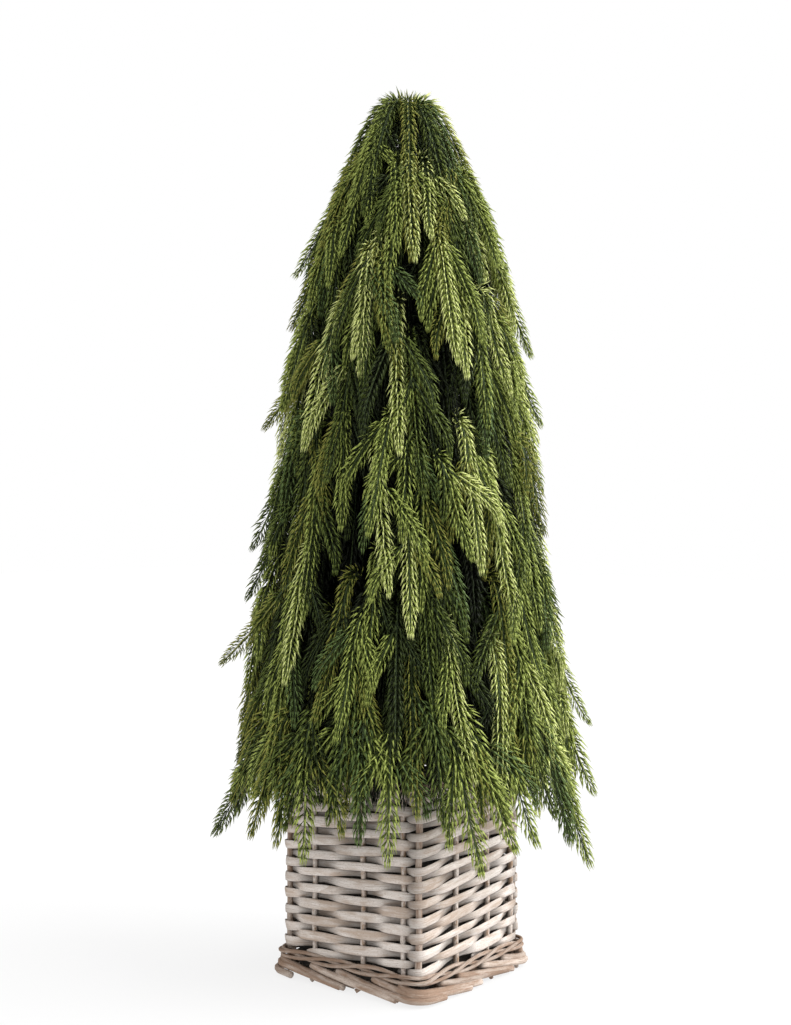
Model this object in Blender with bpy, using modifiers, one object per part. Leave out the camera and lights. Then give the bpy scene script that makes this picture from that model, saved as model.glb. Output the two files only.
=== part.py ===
"""Cone topiary of drooping faux pine in a square willow basket.

Metres, +Z up. The origin is the centre of the basket's flat underside, and X and Y run along its sides.
The stem is set in a foam block inside the basket. Boughs leave it in four tiers, and each carries one
hanging mass of needle sprays. The tiers lap over each other like shingles, under a domed crown tip.
"""

import math
import random

import bmesh
import bpy
from mathutils import Matrix, Vector, noise

# Driving dimensions.
OVERALL_HEIGHT = 0.635
GAP = 0.0003  # clearance between pieces that touch

# Basket.
BASKET_SIDE = 0.120  # over the outer faces of the woven walls
BASKET_HEIGHT = 0.150
WALL_THICKNESS = 0.006
POST_RADIUS = 0.0026
FOOT_WIDTH = 0.011
FOOT_HEIGHT = 0.018
FOOT_OVERHANG = 0.005  # beyond the walls
RIM_WIDTH = 0.009
RIM_OVERHANG = 0.0015
FLOOR_THICKNESS = 0.0045
ROD_ROUNDING = 0.0035
SIDE_NAMES = ("front", "right", "back", "left")

# Foam block and stem.
FOAM_TOP = 0.130
STEM_FOOT = 0.060
STEM_TOP = 0.606
STEM_FOOT_RADIUS = 0.0070
STEM_TOP_RADIUS = 0.0022
STEM_WANDER = 0.0012
STEM_POINTS = 8
STEM_ROUNDNESS = 3  # extra steps in each quarter of its section

# Crown. Its outline is a power curve of the depth below the tip, with a flare at the hem.
CROWN_TOP = OVERALL_HEIGHT - 0.002
CROWN_HANG = 0.546  # from the top to the lowest tips
CROWN_RADIUS = 0.128
CROWN_FULLNESS = 0.38
HEM_FLARE = 0.011
HEM_FLARE_POWER = 10
SHINGLE_SLOPE = 0.19  # how fast a tier sinks below the outline towards its top
TILT_ALLOWANCE = 0.86  # a sloping sheet is thicker along its radius than across itself
UNEVENNESS = 0.0045
UNEVENNESS_SCALE = 2.8

# Crown tip: a dome, solid round the end of the stem and hollow below that, over the tops of the upper tier.
TIP_HEM = 0.500
TIP_LOBES = 8
TIP_COLUMNS = 24
TIP_ROWS = 7
TIP_ROW_SPREAD = 1.7  # crowds the rows towards the peak
TIP_HOLLOW_TOP = 0.552

# Hanging masses: name of the tier, how many, height of their tops, height of their tips.
TIERS = (
    ("upper", 4, 0.546, 0.422),
    ("middle", 5, 0.464, 0.325),
    ("lower", 5, 0.376, 0.222),
    ("skirt", 6, 0.288, 0.087),
)
SKIRT_THICKNESS = 0.021
MASS_LOBES = 3
MASS_COLUMNS = 12
MASS_ROWS = 5
HEM_CUT = 0.22  # share of a mass's length that is cut away between its lobes
LOBE_BLUNTNESS = 0.6  # below 1 for rounder lobes
LOBE_SPREAD = 0.35  # share of that cut which a short lobe lacks
SIDE_GAP = 0.004  # between neighbours in a tier
EDGE_THINNESS = 0.35  # thickness at a mass's borders, as a share of the middle
LENGTH_SPREAD = 0.06
BORDER_SPREAD = 0.10  # of a sector, by which the borders between neighbours are moved

# Boughs.
BOUGH_RADIUS = 0.0021
BOUGH_TAPER = 0.6
BOUGH_POINTS = 5
BOUGH_COLLAR = 0.004  # the straight stretch next to the stem
BOUGH_RISE = 0.020  # from the stem to the mass
BOUGH_ARCH = 0.006
BOUGH_ENTRY = 0.25  # how far down its mass a bough ends
BOUGH_CLEARANCE = 0.0015
BOUGH_ROUNDNESS = 1

ROUND_SIDES = 16  # of posts and sockets
SMOOTH_ANGLE = math.radians(40)
FINISHES = {  # colour and roughness
    "willow_strip": ((0.47, 0.41, 0.36), 0.75),
    "willow_rod": ((0.33, 0.27, 0.23), 0.8),
    "dark_foam": ((0.035, 0.028, 0.022), 0.95),
    "wrapped_stem": ((0.10, 0.065, 0.04), 0.9),
    "wrapped_bough": ((0.09, 0.10, 0.04), 0.8),
    "pine_needles": ((0.075, 0.13, 0.035), 0.55),
}

random.seed(25)


def clear_scene():
    for old in list(bpy.data.objects):
        bpy.data.objects.remove(old, do_unlink=True)


def new_collection(name):
    collection = bpy.data.collections.new(name)
    bpy.context.scene.collection.children.link(collection)
    return collection


def new_material(name):
    colour, roughness = FINISHES[name]
    material = bpy.data.materials.new(name)
    material.use_nodes = True
    shader = material.node_tree.nodes["Principled BSDF"]
    shader.inputs["Base Color"].default_value = (*colour, 1.0)
    shader.inputs["Roughness"].default_value = roughness
    shader.inputs["Metallic"].default_value = 0.0
    return material


def add_object(name, data, material, collection):
    data.materials.append(material)
    placed = bpy.data.objects.new(name, data)
    collection.objects.link(placed)
    return placed


def box_mesh(name, size):
    """A box centred on its own origin."""
    shape = bmesh.new()
    bmesh.ops.create_cube(shape, size=1.0, matrix=Matrix.Diagonal((*size, 1.0)))
    mesh = bpy.data.meshes.new(name)
    shape.to_mesh(mesh)
    shape.free()
    return mesh


def cylinder_mesh(name, radius, height):
    """A closed cylinder centred on its own origin, standing along Z."""
    shape = bmesh.new()
    bmesh.ops.create_cone(
        shape, cap_ends=True, segments=ROUND_SIDES, radius1=radius, radius2=radius, depth=height
    )
    mesh = bpy.data.meshes.new(name)
    shape.to_mesh(mesh)
    shape.free()
    mesh.shade_smooth()
    mesh.set_sharp_from_angle(angle=SMOOTH_ANGLE)
    return mesh


def limb_curve(name, points, radii, roundness):
    """A tapering limb: a bevelled poly curve through the points, capped at both ends."""
    curve = bpy.data.curves.new(name, "CURVE")
    curve.dimensions = "3D"
    curve.bevel_depth = radii[0]
    curve.bevel_resolution = roundness
    curve.use_fill_caps = True
    spline = curve.splines.new("POLY")
    spline.points.add(len(points) - 1)
    for point, place, radius in zip(spline.points, points, radii):
        point.co = (*place, 1.0)
        point.radius = radius / radii[0]
    return curve


# --- Basket ---


def side_rod(name, centreline, width, height, bottom, material, collection):
    """One rod bundle of a square border. It runs past one corner and butts the next, so four make a ring."""
    size = (2 * centreline - GAP, width, height)
    rod = add_object(name, box_mesh(name, size), material, collection)
    rounding = rod.modifiers.new("rounding", "BEVEL")
    rounding.width = ROD_ROUNDING
    rounding.segments = 2
    rod.location = (-(width + GAP) / 2, -centreline, bottom + height / 2)
    return rod


def turn_to_side(placed, side):
    """Turns a piece that was made for the front round to another side."""
    turn = Matrix.Rotation(side * math.pi / 2, 4, "Z")
    placed.location = turn @ Vector(placed.location)
    placed.rotation_euler.z = side * math.pi / 2


def build_basket(collection):
    willow = new_material("willow_strip")
    border = new_material("willow_rod")
    wall_line = (BASKET_SIDE - WALL_THICKNESS) / 2
    wall_length = 2 * (wall_line - max(POST_RADIUS, WALL_THICKNESS / 2) - GAP)
    wall_bottom = FOOT_HEIGHT + GAP
    wall_top = BASKET_HEIGHT - RIM_WIDTH - GAP
    wall_height = wall_top - wall_bottom
    wall_middle = (wall_top + wall_bottom) / 2
    foot_line = BASKET_SIDE / 2 + FOOT_OVERHANG - FOOT_WIDTH / 2
    rim_line = BASKET_SIDE / 2 + RIM_OVERHANG - RIM_WIDTH / 2

    for side, side_name in enumerate(SIDE_NAMES):
        wall_name = f"basket_wall_{side_name}"
        wall_size = (wall_length, WALL_THICKNESS, wall_height)
        wall = add_object(wall_name, box_mesh(wall_name, wall_size), willow, collection)
        wall.location = (0, -wall_line, wall_middle)

        post_name = f"basket_post_{side_name}"
        post_mesh = cylinder_mesh(post_name, POST_RADIUS, wall_height)
        post = add_object(post_name, post_mesh, border, collection)
        post.location = (-wall_line, -wall_line, wall_middle)

        foot = side_rod(
            f"basket_foot_{side_name}", foot_line, FOOT_WIDTH, FOOT_HEIGHT, 0.0, border, collection
        )
        rim_bottom = BASKET_HEIGHT - RIM_WIDTH
        rim = side_rod(
            f"basket_rim_{side_name}", rim_line, RIM_WIDTH, RIM_WIDTH, rim_bottom, border, collection
        )
        for placed in (wall, post, foot, rim):
            turn_to_side(placed, side)

    floor_side = 2 * (foot_line - FOOT_WIDTH / 2 - GAP)
    floor_mesh = box_mesh("basket_floor", (floor_side, floor_side, FLOOR_THICKNESS))
    basket_floor = add_object("basket_floor", floor_mesh, willow, collection)
    basket_floor.location = (0, 0, FLOOR_THICKNESS / 2)


# --- Foam block and stem ---


def stem_radius(height):
    share = (height - STEM_FOOT) / (STEM_TOP - STEM_FOOT)
    return STEM_FOOT_RADIUS + (STEM_TOP_RADIUS - STEM_FOOT_RADIUS) * share


def stem_centre(height):
    """The stem's middle at a height: straight in the foam, with a slight wander above it."""
    share = max(0.0, (height - FOAM_TOP) / (STEM_TOP - FOAM_TOP))
    sway = STEM_WANDER * math.sin(math.pi * share)
    return Vector((sway, -sway * math.sin(2 * math.pi * share), height))


def cut_socket(target, name, radius, bottom, top, cutters):
    """Cuts an upright round socket on the stem's axis."""
    socket = bpy.data.objects.new(name, cylinder_mesh(name, radius, top - bottom))
    cutters.objects.link(socket)
    socket.location = (0, 0, (bottom + top) / 2)
    socket.display_type = "WIRE"
    socket.hide_render = True
    cut = target.modifiers.new("stem socket", "BOOLEAN")
    cut.operation = "DIFFERENCE"
    cut.object = socket


def build_foam(collection, cutters):
    foam_bottom = FLOOR_THICKNESS + GAP
    foam_side = BASKET_SIDE - 2 * (WALL_THICKNESS + GAP)
    foam_height = FOAM_TOP - foam_bottom
    foam_mesh = box_mesh("planter_foam", (foam_side, foam_side, foam_height))
    foam = add_object("planter_foam", foam_mesh, new_material("dark_foam"), collection)
    foam.location = (0, 0, foam_bottom + foam_height / 2)
    socket_radius = STEM_FOOT_RADIUS + 2 * GAP
    cut_socket(foam, "foot_socket", socket_radius, STEM_FOOT - GAP, 2 * FOAM_TOP, cutters)


def build_stem(collection):
    heights = [
        STEM_FOOT + (STEM_TOP - STEM_FOOT) * i / (STEM_POINTS - 1) for i in range(STEM_POINTS)
    ]
    centres = [stem_centre(height) for height in heights]
    radii = [stem_radius(height) for height in heights]
    stem = limb_curve("trunk", centres, radii, STEM_ROUNDNESS)
    add_object("trunk", stem, new_material("wrapped_stem"), collection)


# --- Crown ---


def outline_radius(height):
    """The crown's outer radius at a height, out to the tips of the sprays."""
    depth = max(0.0, CROWN_TOP - height) / CROWN_HANG
    return CROWN_RADIUS * depth**CROWN_FULLNESS + HEM_FLARE * depth**HEM_FLARE_POWER


def bump(angle, height):
    """Unevenness that every tier shares at one angle and height, so that lapping tiers stay apart."""
    place = Vector((math.cos(angle), math.sin(angle), height / CROWN_RADIUS)) * UNEVENNESS_SCALE
    return UNEVENNESS * noise.noise(place)


def on_crown(angle, radius, height):
    return Vector((radius * math.cos(angle), radius * math.sin(angle), height))


def hem_fall(share, lobes):
    """How much of the hem's cut is filled at a share of its width: lobes holds each lobe's own fall."""
    index = min(int(share * len(lobes)), len(lobes) - 1)
    return lobes[index] * abs(math.sin(math.pi * len(lobes) * share)) ** LOBE_BLUNTNESS


def random_lobes(count):
    return [1 - LOBE_SPREAD * random.random() for _ in range(count)]


def sheet_shape(columns, rows, place):
    """A grid laid on a mass's outer face. place takes the shares across and down the grid.

    It gives a point and its share of the mass's thickness, which goes into a vertex group.
    """
    shape = bmesh.new()
    bmesh.ops.create_grid(shape, x_segments=columns, y_segments=rows, size=0.5)
    weight = shape.verts.layers.deform.verify()
    for vertex in shape.verts:
        vertex.co, vertex[weight][0] = place(vertex.co.x + 0.5, 0.5 - vertex.co.y)
    bmesh.ops.remove_doubles(shape, verts=shape.verts, dist=1e-5)
    shape.faces.ensure_lookup_table()
    shape.normal_update()
    sample = shape.faces[len(shape.faces) // 2]
    outward = sample.calc_center_median() * Vector((1, 1, 0))
    if sample.normal.dot(outward) < 0:
        bmesh.ops.reverse_faces(shape, faces=shape.faces)
    return shape


def add_foliage(name, shape, material, collection):
    mesh = bpy.data.meshes.new(name)
    shape.to_mesh(mesh)
    shape.free()
    mesh.shade_smooth()
    return add_object(name, mesh, material, collection)


def build_crown_tip(material, collection, cutters):
    lobes = random_lobes(TIP_LOBES)
    thickness = TILT_ALLOWANCE * SHINGLE_SLOPE * (TIP_HEM - TIERS[0][3]) - 2 * GAP

    def place(across, down):
        angle = 2 * math.pi * across
        cut = 1 - HEM_CUT * (1 - hem_fall(across, lobes)) * down
        height = CROWN_TOP - (CROWN_TOP - TIP_HEM) * cut * down**TIP_ROW_SPREAD
        radius = outline_radius(height) + bump(angle, height) * min(1, down * TIP_ROWS)
        return on_crown(angle, radius, height), 1.0

    shape = sheet_shape(TIP_COLUMNS, TIP_ROWS, place)
    rim = [edge for edge in shape.edges if edge.is_boundary]
    for inset, level in ((EDGE_THINNESS * thickness, None), (thickness, TIP_HOLLOW_TOP)):
        grown = bmesh.ops.extrude_edge_only(shape, edges=rim)["geom"]
        for vertex in (item for item in grown if isinstance(item, bmesh.types.BMVert)):
            angle = math.atan2(vertex.co.y, vertex.co.x)
            height = level or vertex.co.z
            radius = outline_radius(height) + bump(angle, height) - inset
            vertex.co = on_crown(angle, radius, height)
        rim = [item for item in grown if isinstance(item, bmesh.types.BMEdge) and item.is_boundary]
    bmesh.ops.contextual_create(shape, geom=rim)
    bmesh.ops.recalc_face_normals(shape, faces=shape.faces)

    tip = add_foliage("crown_tip", shape, material, collection)
    socket_radius = stem_radius(TIP_HOLLOW_TOP) + 2 * GAP
    cut_socket(tip, "tip_socket", socket_radius, TIP_HEM, STEM_TOP + GAP, cutters)


def tier_thickness(number):
    """A tier fills the space between the outline and the tier below it, which laps in under it."""
    if number == len(TIERS) - 1:
        return SKIRT_THICKNESS
    drop = TIERS[number][3] - TIERS[number + 1][3]
    return TILT_ALLOWANCE * SHINGLE_SLOPE * drop - 2 * GAP


def tier_radius(height, tip):
    """The outer face of a tier whose tips hang at the height tip."""
    return outline_radius(height) - SHINGLE_SLOPE * max(0.0, height - tip)


def build_mass(name, tier, thickness, borders, material, collection):
    """One hanging mass between two border angles."""
    _, _, top, tip = tier
    length = (top - tip) * (1 - LENGTH_SPREAD * random.random())
    lobes = random_lobes(MASS_LOBES)
    middle = (borders[0] + borders[1]) / 2
    half = (borders[1] - borders[0]) / 2 - SIDE_GAP / (2 * tier_radius(top, tip))

    def place(across, down):
        u = 2 * across - 1
        angle = middle + half * u
        height = top - length * down * (1 - HEM_CUT * (1 - hem_fall(across, lobes)) * down)
        at_hem = down > 0.99
        at_border = at_hem or down < 0.01 or abs(u) > 0.99
        share = EDGE_THINNESS if at_border else 1.0
        inset = 0.0 if at_hem else thickness * (1 - share) / 2
        radius = tier_radius(height, tip) + bump(angle, height) - inset
        return on_crown(angle, radius, height), share

    shape = sheet_shape(MASS_COLUMNS, MASS_ROWS, place)
    mass = add_foliage(name, shape, material, collection)
    mass.vertex_groups.new(name="thickness")
    shell = mass.modifiers.new("thickness", "SOLIDIFY")
    shell.thickness = thickness
    shell.offset = -1.0
    shell.vertex_group = "thickness"


def build_bough(name, angle, start, end, material, collection):
    """A tapering limb that leaves the stem square to it and arches out to the mass that it carries."""
    collar = start + Vector((math.cos(angle), math.sin(angle), 0)) * BOUGH_COLLAR
    points, radii = [start], [BOUGH_RADIUS]
    for i in range(BOUGH_POINTS):
        share = i / (BOUGH_POINTS - 1)
        point = collar.lerp(end, share)
        point.z += BOUGH_ARCH * math.sin(math.pi * share)
        points.append(point)
        radii.append(BOUGH_RADIUS * (1 - (1 - BOUGH_TAPER) * share))
    add_object(name, limb_curve(name, points, radii, BOUGH_ROUNDNESS), material, collection)


def build_tier(number, needles, wire, collection):
    tier_name, count, top, tip = TIERS[number]
    thickness = tier_thickness(number)
    sector = 2 * math.pi / count
    borders = [
        sector * (index + 0.5 * (number % 2) + BORDER_SPREAD * random.uniform(-1, 1))
        for index in range(count)
    ]
    borders.append(borders[0] + 2 * math.pi)
    for index in range(count):
        pair = borders[index : index + 2]
        mass_name = f"foliage_{tier_name}_{index + 1}"
        build_mass(mass_name, TIERS[number], thickness, pair, needles, collection)

        angle = sum(pair) / 2
        entry = top - BOUGH_ENTRY * (top - tip)
        inner_face = tier_radius(entry, tip) + bump(angle, entry) - thickness / TILT_ALLOWANCE
        end = on_crown(angle, inner_face - BOUGH_CLEARANCE, entry)
        foot = entry - BOUGH_RISE
        start = stem_centre(foot) + on_crown(angle, stem_radius(foot) + GAP, 0)
        build_bough(f"bough_{tier_name}_{index + 1}", angle, start, end, wire, collection)


def build_crown(collection, cutters):
    needles = new_material("pine_needles")
    wire = new_material("wrapped_bough")
    build_crown_tip(needles, collection, cutters)
    for number in range(len(TIERS)):
        build_tier(number, needles, wire, collection)


def main():
    clear_scene()
    topiary = new_collection("cone_topiary")
    cutters = new_collection("cutters")
    build_basket(topiary)
    build_foam(topiary, cutters)
    build_stem(topiary)
    build_crown(topiary, cutters)


main()
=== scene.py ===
"""Looks of the artificial weeping cone tree in its square willow basket, built round the frame.

The crown grows from the stem: boughs carry limbs, limbs carry sprays, and every spray is a set of
needled shoots that arch out to the crown's outline and hang along it. The basket is woven strip by
strip round its stakes. All lengths are in metres and all draws of chance are seeded.
"""

import logging
import math
import random
from collections.abc import Iterable, Sequence
from dataclasses import dataclass, field
from enum import Enum

import bmesh
import bpy
import numpy as np
from mathutils import Matrix, Vector, noise

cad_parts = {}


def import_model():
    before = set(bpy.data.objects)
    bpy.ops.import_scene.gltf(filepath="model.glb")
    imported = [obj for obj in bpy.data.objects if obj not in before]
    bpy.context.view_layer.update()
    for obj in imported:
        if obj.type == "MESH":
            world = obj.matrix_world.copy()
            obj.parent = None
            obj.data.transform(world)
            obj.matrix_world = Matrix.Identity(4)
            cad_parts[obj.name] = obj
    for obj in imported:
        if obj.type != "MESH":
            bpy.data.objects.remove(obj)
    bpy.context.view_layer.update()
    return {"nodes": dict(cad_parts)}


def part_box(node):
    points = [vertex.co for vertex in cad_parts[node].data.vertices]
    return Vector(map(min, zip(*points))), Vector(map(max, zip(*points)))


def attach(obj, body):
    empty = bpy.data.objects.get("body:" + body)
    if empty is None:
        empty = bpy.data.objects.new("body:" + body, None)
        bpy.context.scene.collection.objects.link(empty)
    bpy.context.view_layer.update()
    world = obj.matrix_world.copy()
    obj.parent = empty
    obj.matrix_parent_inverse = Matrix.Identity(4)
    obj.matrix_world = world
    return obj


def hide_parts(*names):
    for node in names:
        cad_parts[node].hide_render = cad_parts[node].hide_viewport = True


LOG = logging.getLogger("cone_tree")
BODY = "root"
SEED = 7
UP = np.array((0.0, 0.0, 1.0))
GOLDEN = (math.sqrt(5) - 1) / 2
FULL_TURN = 2 * math.pi
END_SLICE = 0.0008  # the points of a limb's end lie this near it
STEM_END = 0.596
PHASES = (0, 6.28)  # of the slow waves in strips and rods
SHIFTS = (0, 9)  # of the grain from one strip or rod to the next
PEAK_WEIGHTS = (0.343, 0.441, 0.189, 0.027)  # of a curve's corners 0.3 along it, where it peaks

Colour = tuple[float, float, float]
Nodes = dict[str, bpy.types.Object]
Operand = "Channel | float"


# --- Shader sheets ---


class Channel:
    """One shader socket. Arithmetic on it adds Math nodes to its sheet."""

    def __init__(self, sheet: "NodeSheet", socket: bpy.types.NodeSocket) -> None:
        """Wraps a socket.

        Args:
            sheet: The sheet that holds the socket's node.
            socket: An output socket.
        """
        self.sheet = sheet
        self.socket = socket

    def _math(self, operation: str, *terms: Operand) -> "Channel":
        """Adds a Math node.

        Args:
            operation: The node's operation.
            terms: Its inputs, in order.

        Returns:
            The node's output.
        """
        return self.sheet.add("ShaderNodeMath", {"operation": operation}, dict(enumerate(terms)))

    def __add__(self, other: Operand) -> "Channel":
        """The sum."""
        return self._math("ADD", self, other)

    def __sub__(self, other: Operand) -> "Channel":
        """The difference."""
        return self._math("SUBTRACT", self, other)

    def __rsub__(self, other: Operand) -> "Channel":
        """The difference from a number."""
        return self._math("SUBTRACT", other, self)

    def __mul__(self, other: Operand) -> "Channel":
        """The product."""
        return self._math("MULTIPLY", self, other)

    __radd__ = __add__
    __rmul__ = __mul__

    def power(self, exponent: float) -> "Channel":
        """The channel raised to a power."""
        return self._math("POWER", self, exponent)

    def held(self) -> "Channel":
        """The channel held between 0 and 1."""
        return self.sheet.add("ShaderNodeClamp", {}, {0: self})

    def over(self, level: float, gain: float) -> "Channel":
        """How far the channel is over a level, times a gain, held between 0 and 1."""
        return ((self - level) * gain).held()

    def scaled(self, scales: Sequence[float]) -> "Channel":
        """A vector channel multiplied by one number along each axis."""
        values = {0: self, 1: tuple(scales)}
        return self.sheet.add("ShaderNodeVectorMath", {"operation": "MULTIPLY"}, values)

    def dimmed(self, share: "Channel") -> "Channel":
        """A colour channel multiplied by a plain channel."""
        values = {0: self, "Scale": share}
        return self.sheet.add("ShaderNodeVectorMath", {"operation": "SCALE"}, values)


class NodeSheet:
    """A node tree that is filled in from Python expressions."""

    def __init__(self, tree: bpy.types.NodeTree) -> None:
        """Clears the tree.

        Args:
            tree: The node tree of a material or of the world.
        """
        self.tree = tree
        tree.nodes.clear()

    def add(
        self,
        kind: str,
        settings: dict[str, object] | None = None,
        values: dict[int | str, object] | None = None,
        output: int | str = 0,
    ) -> Channel:
        """Adds a node.

        Args:
            kind: The node's type.
            settings: Its own properties, which are set first.
            values: A number, colour or channel for each input.
            output: Which output is returned.

        Returns:
            That output as a channel.
        """
        node = self.tree.nodes.new(kind)
        for key, setting in (settings or {}).items():
            setattr(node, key, setting)
        for key, value in (values or {}).items():
            if isinstance(value, Channel):
                self.tree.links.new(value.socket, node.inputs[key])
            else:
                node.inputs[key].default_value = value
        return Channel(self, node.outputs[output] if len(node.outputs) else None)

    def noise(self, place: Channel, scale: float, detail: float) -> Channel:
        """Noise between about 0.3 and 0.7.

        Args:
            place: Where on the piece.
            scale: How fine it is.
            detail: How many finer layers it has.

        Returns:
            The noise.
        """
        values = {"Vector": place, "Scale": scale, "Detail": detail, "Roughness": 0.6}
        return self.add("ShaderNodeTexNoise", {}, values)

    def mix(self, share: Operand, first: object, second: object) -> Channel:
        """Mixes two colours.

        Args:
            share: How much of the second.
            first: A colour or channel.
            second: A colour or channel.

        Returns:
            The mixed colour.
        """
        settings = {"data_type": "RGBA"}
        return self.add("ShaderNodeMix", settings, {0: share, 6: solid(first), 7: solid(second)}, 2)

    def bump(self, height: Channel, distance: float) -> Channel:
        """A normal that is bumped by a height, which reaches the given distance."""
        values = {"Strength": 1.0, "Distance": distance, "Height": height}
        return self.add("ShaderNodeBump", {}, values)

    def place(self) -> Channel:
        """The piece's own coordinates."""
        return self.add("ShaderNodeTexCoord", {}, {}, "Object")

    def grain(self) -> Channel:
        """Where a point lies along and across its own strip."""
        return self.add("ShaderNodeAttribute", {"attribute_name": "grain"}, {}, "Vector")

    def tone(self) -> Channel:
        """How bright a point of a strip or rod is: its own tone, with any painted shade and light
        laid on it.
        """
        return self.add("ShaderNodeAttribute", {"attribute_name": "tone"}, {}, "Fac")

    def skin(self, **values: object) -> None:
        """Ends the sheet with one surface shader.

        Args:
            values: Its inputs, with _ for each blank in a name.
        """
        named = {key.replace("_", " "): solid(value) for key, value in values.items()}
        shader = self.add("ShaderNodeBsdfPrincipled", {}, named)
        self.add("ShaderNodeOutputMaterial", {}, {"Surface": shader})


def solid(value: object) -> object:
    """A colour of three numbers with its alpha added, and anything else as it is."""
    return (*value, 1.0) if isinstance(value, tuple) and len(value) == 3 else value


def new_sheet(name: str) -> tuple[bpy.types.Material, NodeSheet]:
    """Makes a new material with an empty sheet.

    Args:
        name: Of the material.

    Returns:
        The material and its sheet.
    """
    material = bpy.data.materials.new(name)
    material.use_nodes = True
    return material, NodeSheet(material.node_tree)


# --- Finishes ---


@dataclass(frozen=True)
class WillowFinish:
    """Washed willow: a pale grey wash over brown wood, streaked along each strip or rod."""

    name: str
    wood: Colour
    wash: Colour
    streak: Colour
    washed: float  # 0 for bare wood, 1 for a thick wash
    roughness: float = 0.8
    fibre_scale: tuple[float, float, float] = (45.0, 1300.0, 1300.0)
    patch_scale: tuple[float, float, float] = (60.0, 260.0, 260.0)
    speck_scale: tuple[float, float, float] = (700.0, 1500.0, 1500.0)
    age_scale: tuple[float, float, float] = (9.0, 1.0, 1.0)
    patch_contrast: float = 3.4
    fibre_contrast: float = 2.2
    age_contrast: float = 2.6
    streak_strength: float = 0.55
    speck_strength: float = 0.45
    roughness_range: float = 0.35
    specular: float = 0.2
    relief: float = 0.00035

    def material(self) -> bpy.types.Material:
        """Makes the material, whose pattern follows the grain attribute of each strip.

        Returns:
            The material.
        """
        material, sheet = new_sheet(self.name)
        grain, tone = sheet.grain(), sheet.tone()
        fibres = sheet.noise(grain.scaled(self.fibre_scale), 1.0, 3.0)
        patches = sheet.noise(grain.scaled(self.patch_scale), 1.0, 3.0)
        specks = sheet.noise(grain.scaled(self.speck_scale), 1.0, 2.0)
        age = sheet.noise(grain.scaled(self.age_scale), 1.0, 1.0)
        cover = (patches - 0.5) * self.patch_contrast + (fibres - 0.5) * self.fibre_contrast
        cover = (cover + (age - 0.5) * self.age_contrast + self.washed).held()
        streaks = fibres.over(0.50, gain=7.0) * patches.over(0.36, gain=4.0)
        spots = specks.over(0.56, gain=9.0)
        washed = sheet.mix(cover, self.wood, self.wash)
        streaked = sheet.mix(streaks * self.streak_strength, washed, self.streak)
        specked = sheet.mix(spots * self.speck_strength, streaked, self.streak)
        sheet.skin(
            Base_Color=specked.dimmed(tone),
            Roughness=(self.roughness + (fibres - 0.5) * self.roughness_range).held(),
            Normal=sheet.bump(fibres * 0.7 + patches * 0.3, self.relief),
            Specular_IOR_Level=self.specular,
        )
        return material


@dataclass(frozen=True)
class BarkFinish:
    """Paper tape wound round a wire stem, with painted shade in the laps of its winding, which its
    tone attribute carries.
    """

    name: str
    body: Colour
    edge: Colour
    roughness: float = 0.85
    crease_scale: tuple[float, float, float] = (420.0, 900.0, 900.0)
    blotch_scale: float = 120.0
    relief: float = 0.0003

    def material(self) -> bpy.types.Material:
        """Makes the material, whose pattern follows the grain attribute of each limb.

        Returns:
            The material.
        """
        material, sheet = new_sheet(self.name)
        grain, tone = sheet.grain(), sheet.tone()
        creases = sheet.noise(grain.scaled(self.crease_scale), 1.0, 4.0)
        blotches = sheet.noise(grain, self.blotch_scale, 2.0)
        share = ((creases - 0.45) * 4.0 + (blotches - 0.5) * 1.5).held()
        normal = sheet.bump(creases, self.relief)
        colour = sheet.mix(share, self.body, self.edge).dimmed(tone)
        sheet.skin(Base_Color=colour, Roughness=self.roughness, Normal=normal)
        return material


@dataclass(frozen=True)
class NeedleFinish:
    """One plain green of moulded needles, with a satin gloss."""

    name: str
    colour: Colour
    roughness: float = 0.55
    specular: float = 0.25

    def material(self) -> bpy.types.Material:
        """Makes the material.

        Returns:
            The material.
        """
        material, sheet = new_sheet(self.name)
        values = {"Roughness": self.roughness, "Specular_IOR_Level": self.specular}
        sheet.skin(Base_Color=self.colour, **values)
        return material


@dataclass(frozen=True)
class FoamFinish:
    """Dark open foam, pitted and dusty."""

    name: str
    pit: Colour
    crumb: Colour
    roughness: float = 0.95
    cell_scale: float = 650.0
    dust_scale: float = 60.0
    relief: float = 0.0008

    def material(self) -> bpy.types.Material:
        """Makes the material on the piece's own coordinates.

        Returns:
            The material.
        """
        material, sheet = new_sheet(self.name)
        place = sheet.place()
        cells = sheet.noise(place, self.cell_scale, 3.0)
        dust = sheet.noise(place, self.dust_scale, 3.0)
        colour = sheet.mix(((cells - 0.42) * 3.0 * dust * 2.0).held(), self.pit, self.crumb)
        normal = sheet.bump(cells, self.relief)
        sheet.skin(Base_Color=colour, Roughness=self.roughness, Normal=normal)
        return material


@dataclass(frozen=True)
class FloorFinish:
    """Matt white studio floor that is lit from within, so that shadows on it stay faint."""

    name: str = "studio_floor"
    colour: Colour = (0.15, 0.15, 0.15)
    glow: float = 0.80

    def material(self) -> bpy.types.Material:
        """Makes the material.

        Returns:
            The material.
        """
        material, sheet = new_sheet(self.name)
        mottle = sheet.noise(sheet.place(), 3.0, 2.0)
        sheet.skin(
            Base_Color=self.colour,
            Roughness=0.75 + mottle * 0.2,
            Specular_IOR_Level=0.1,
            Emission_Color=(1.0, 1.0, 1.0),
            Emission_Strength=self.glow,
        )
        return material


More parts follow.
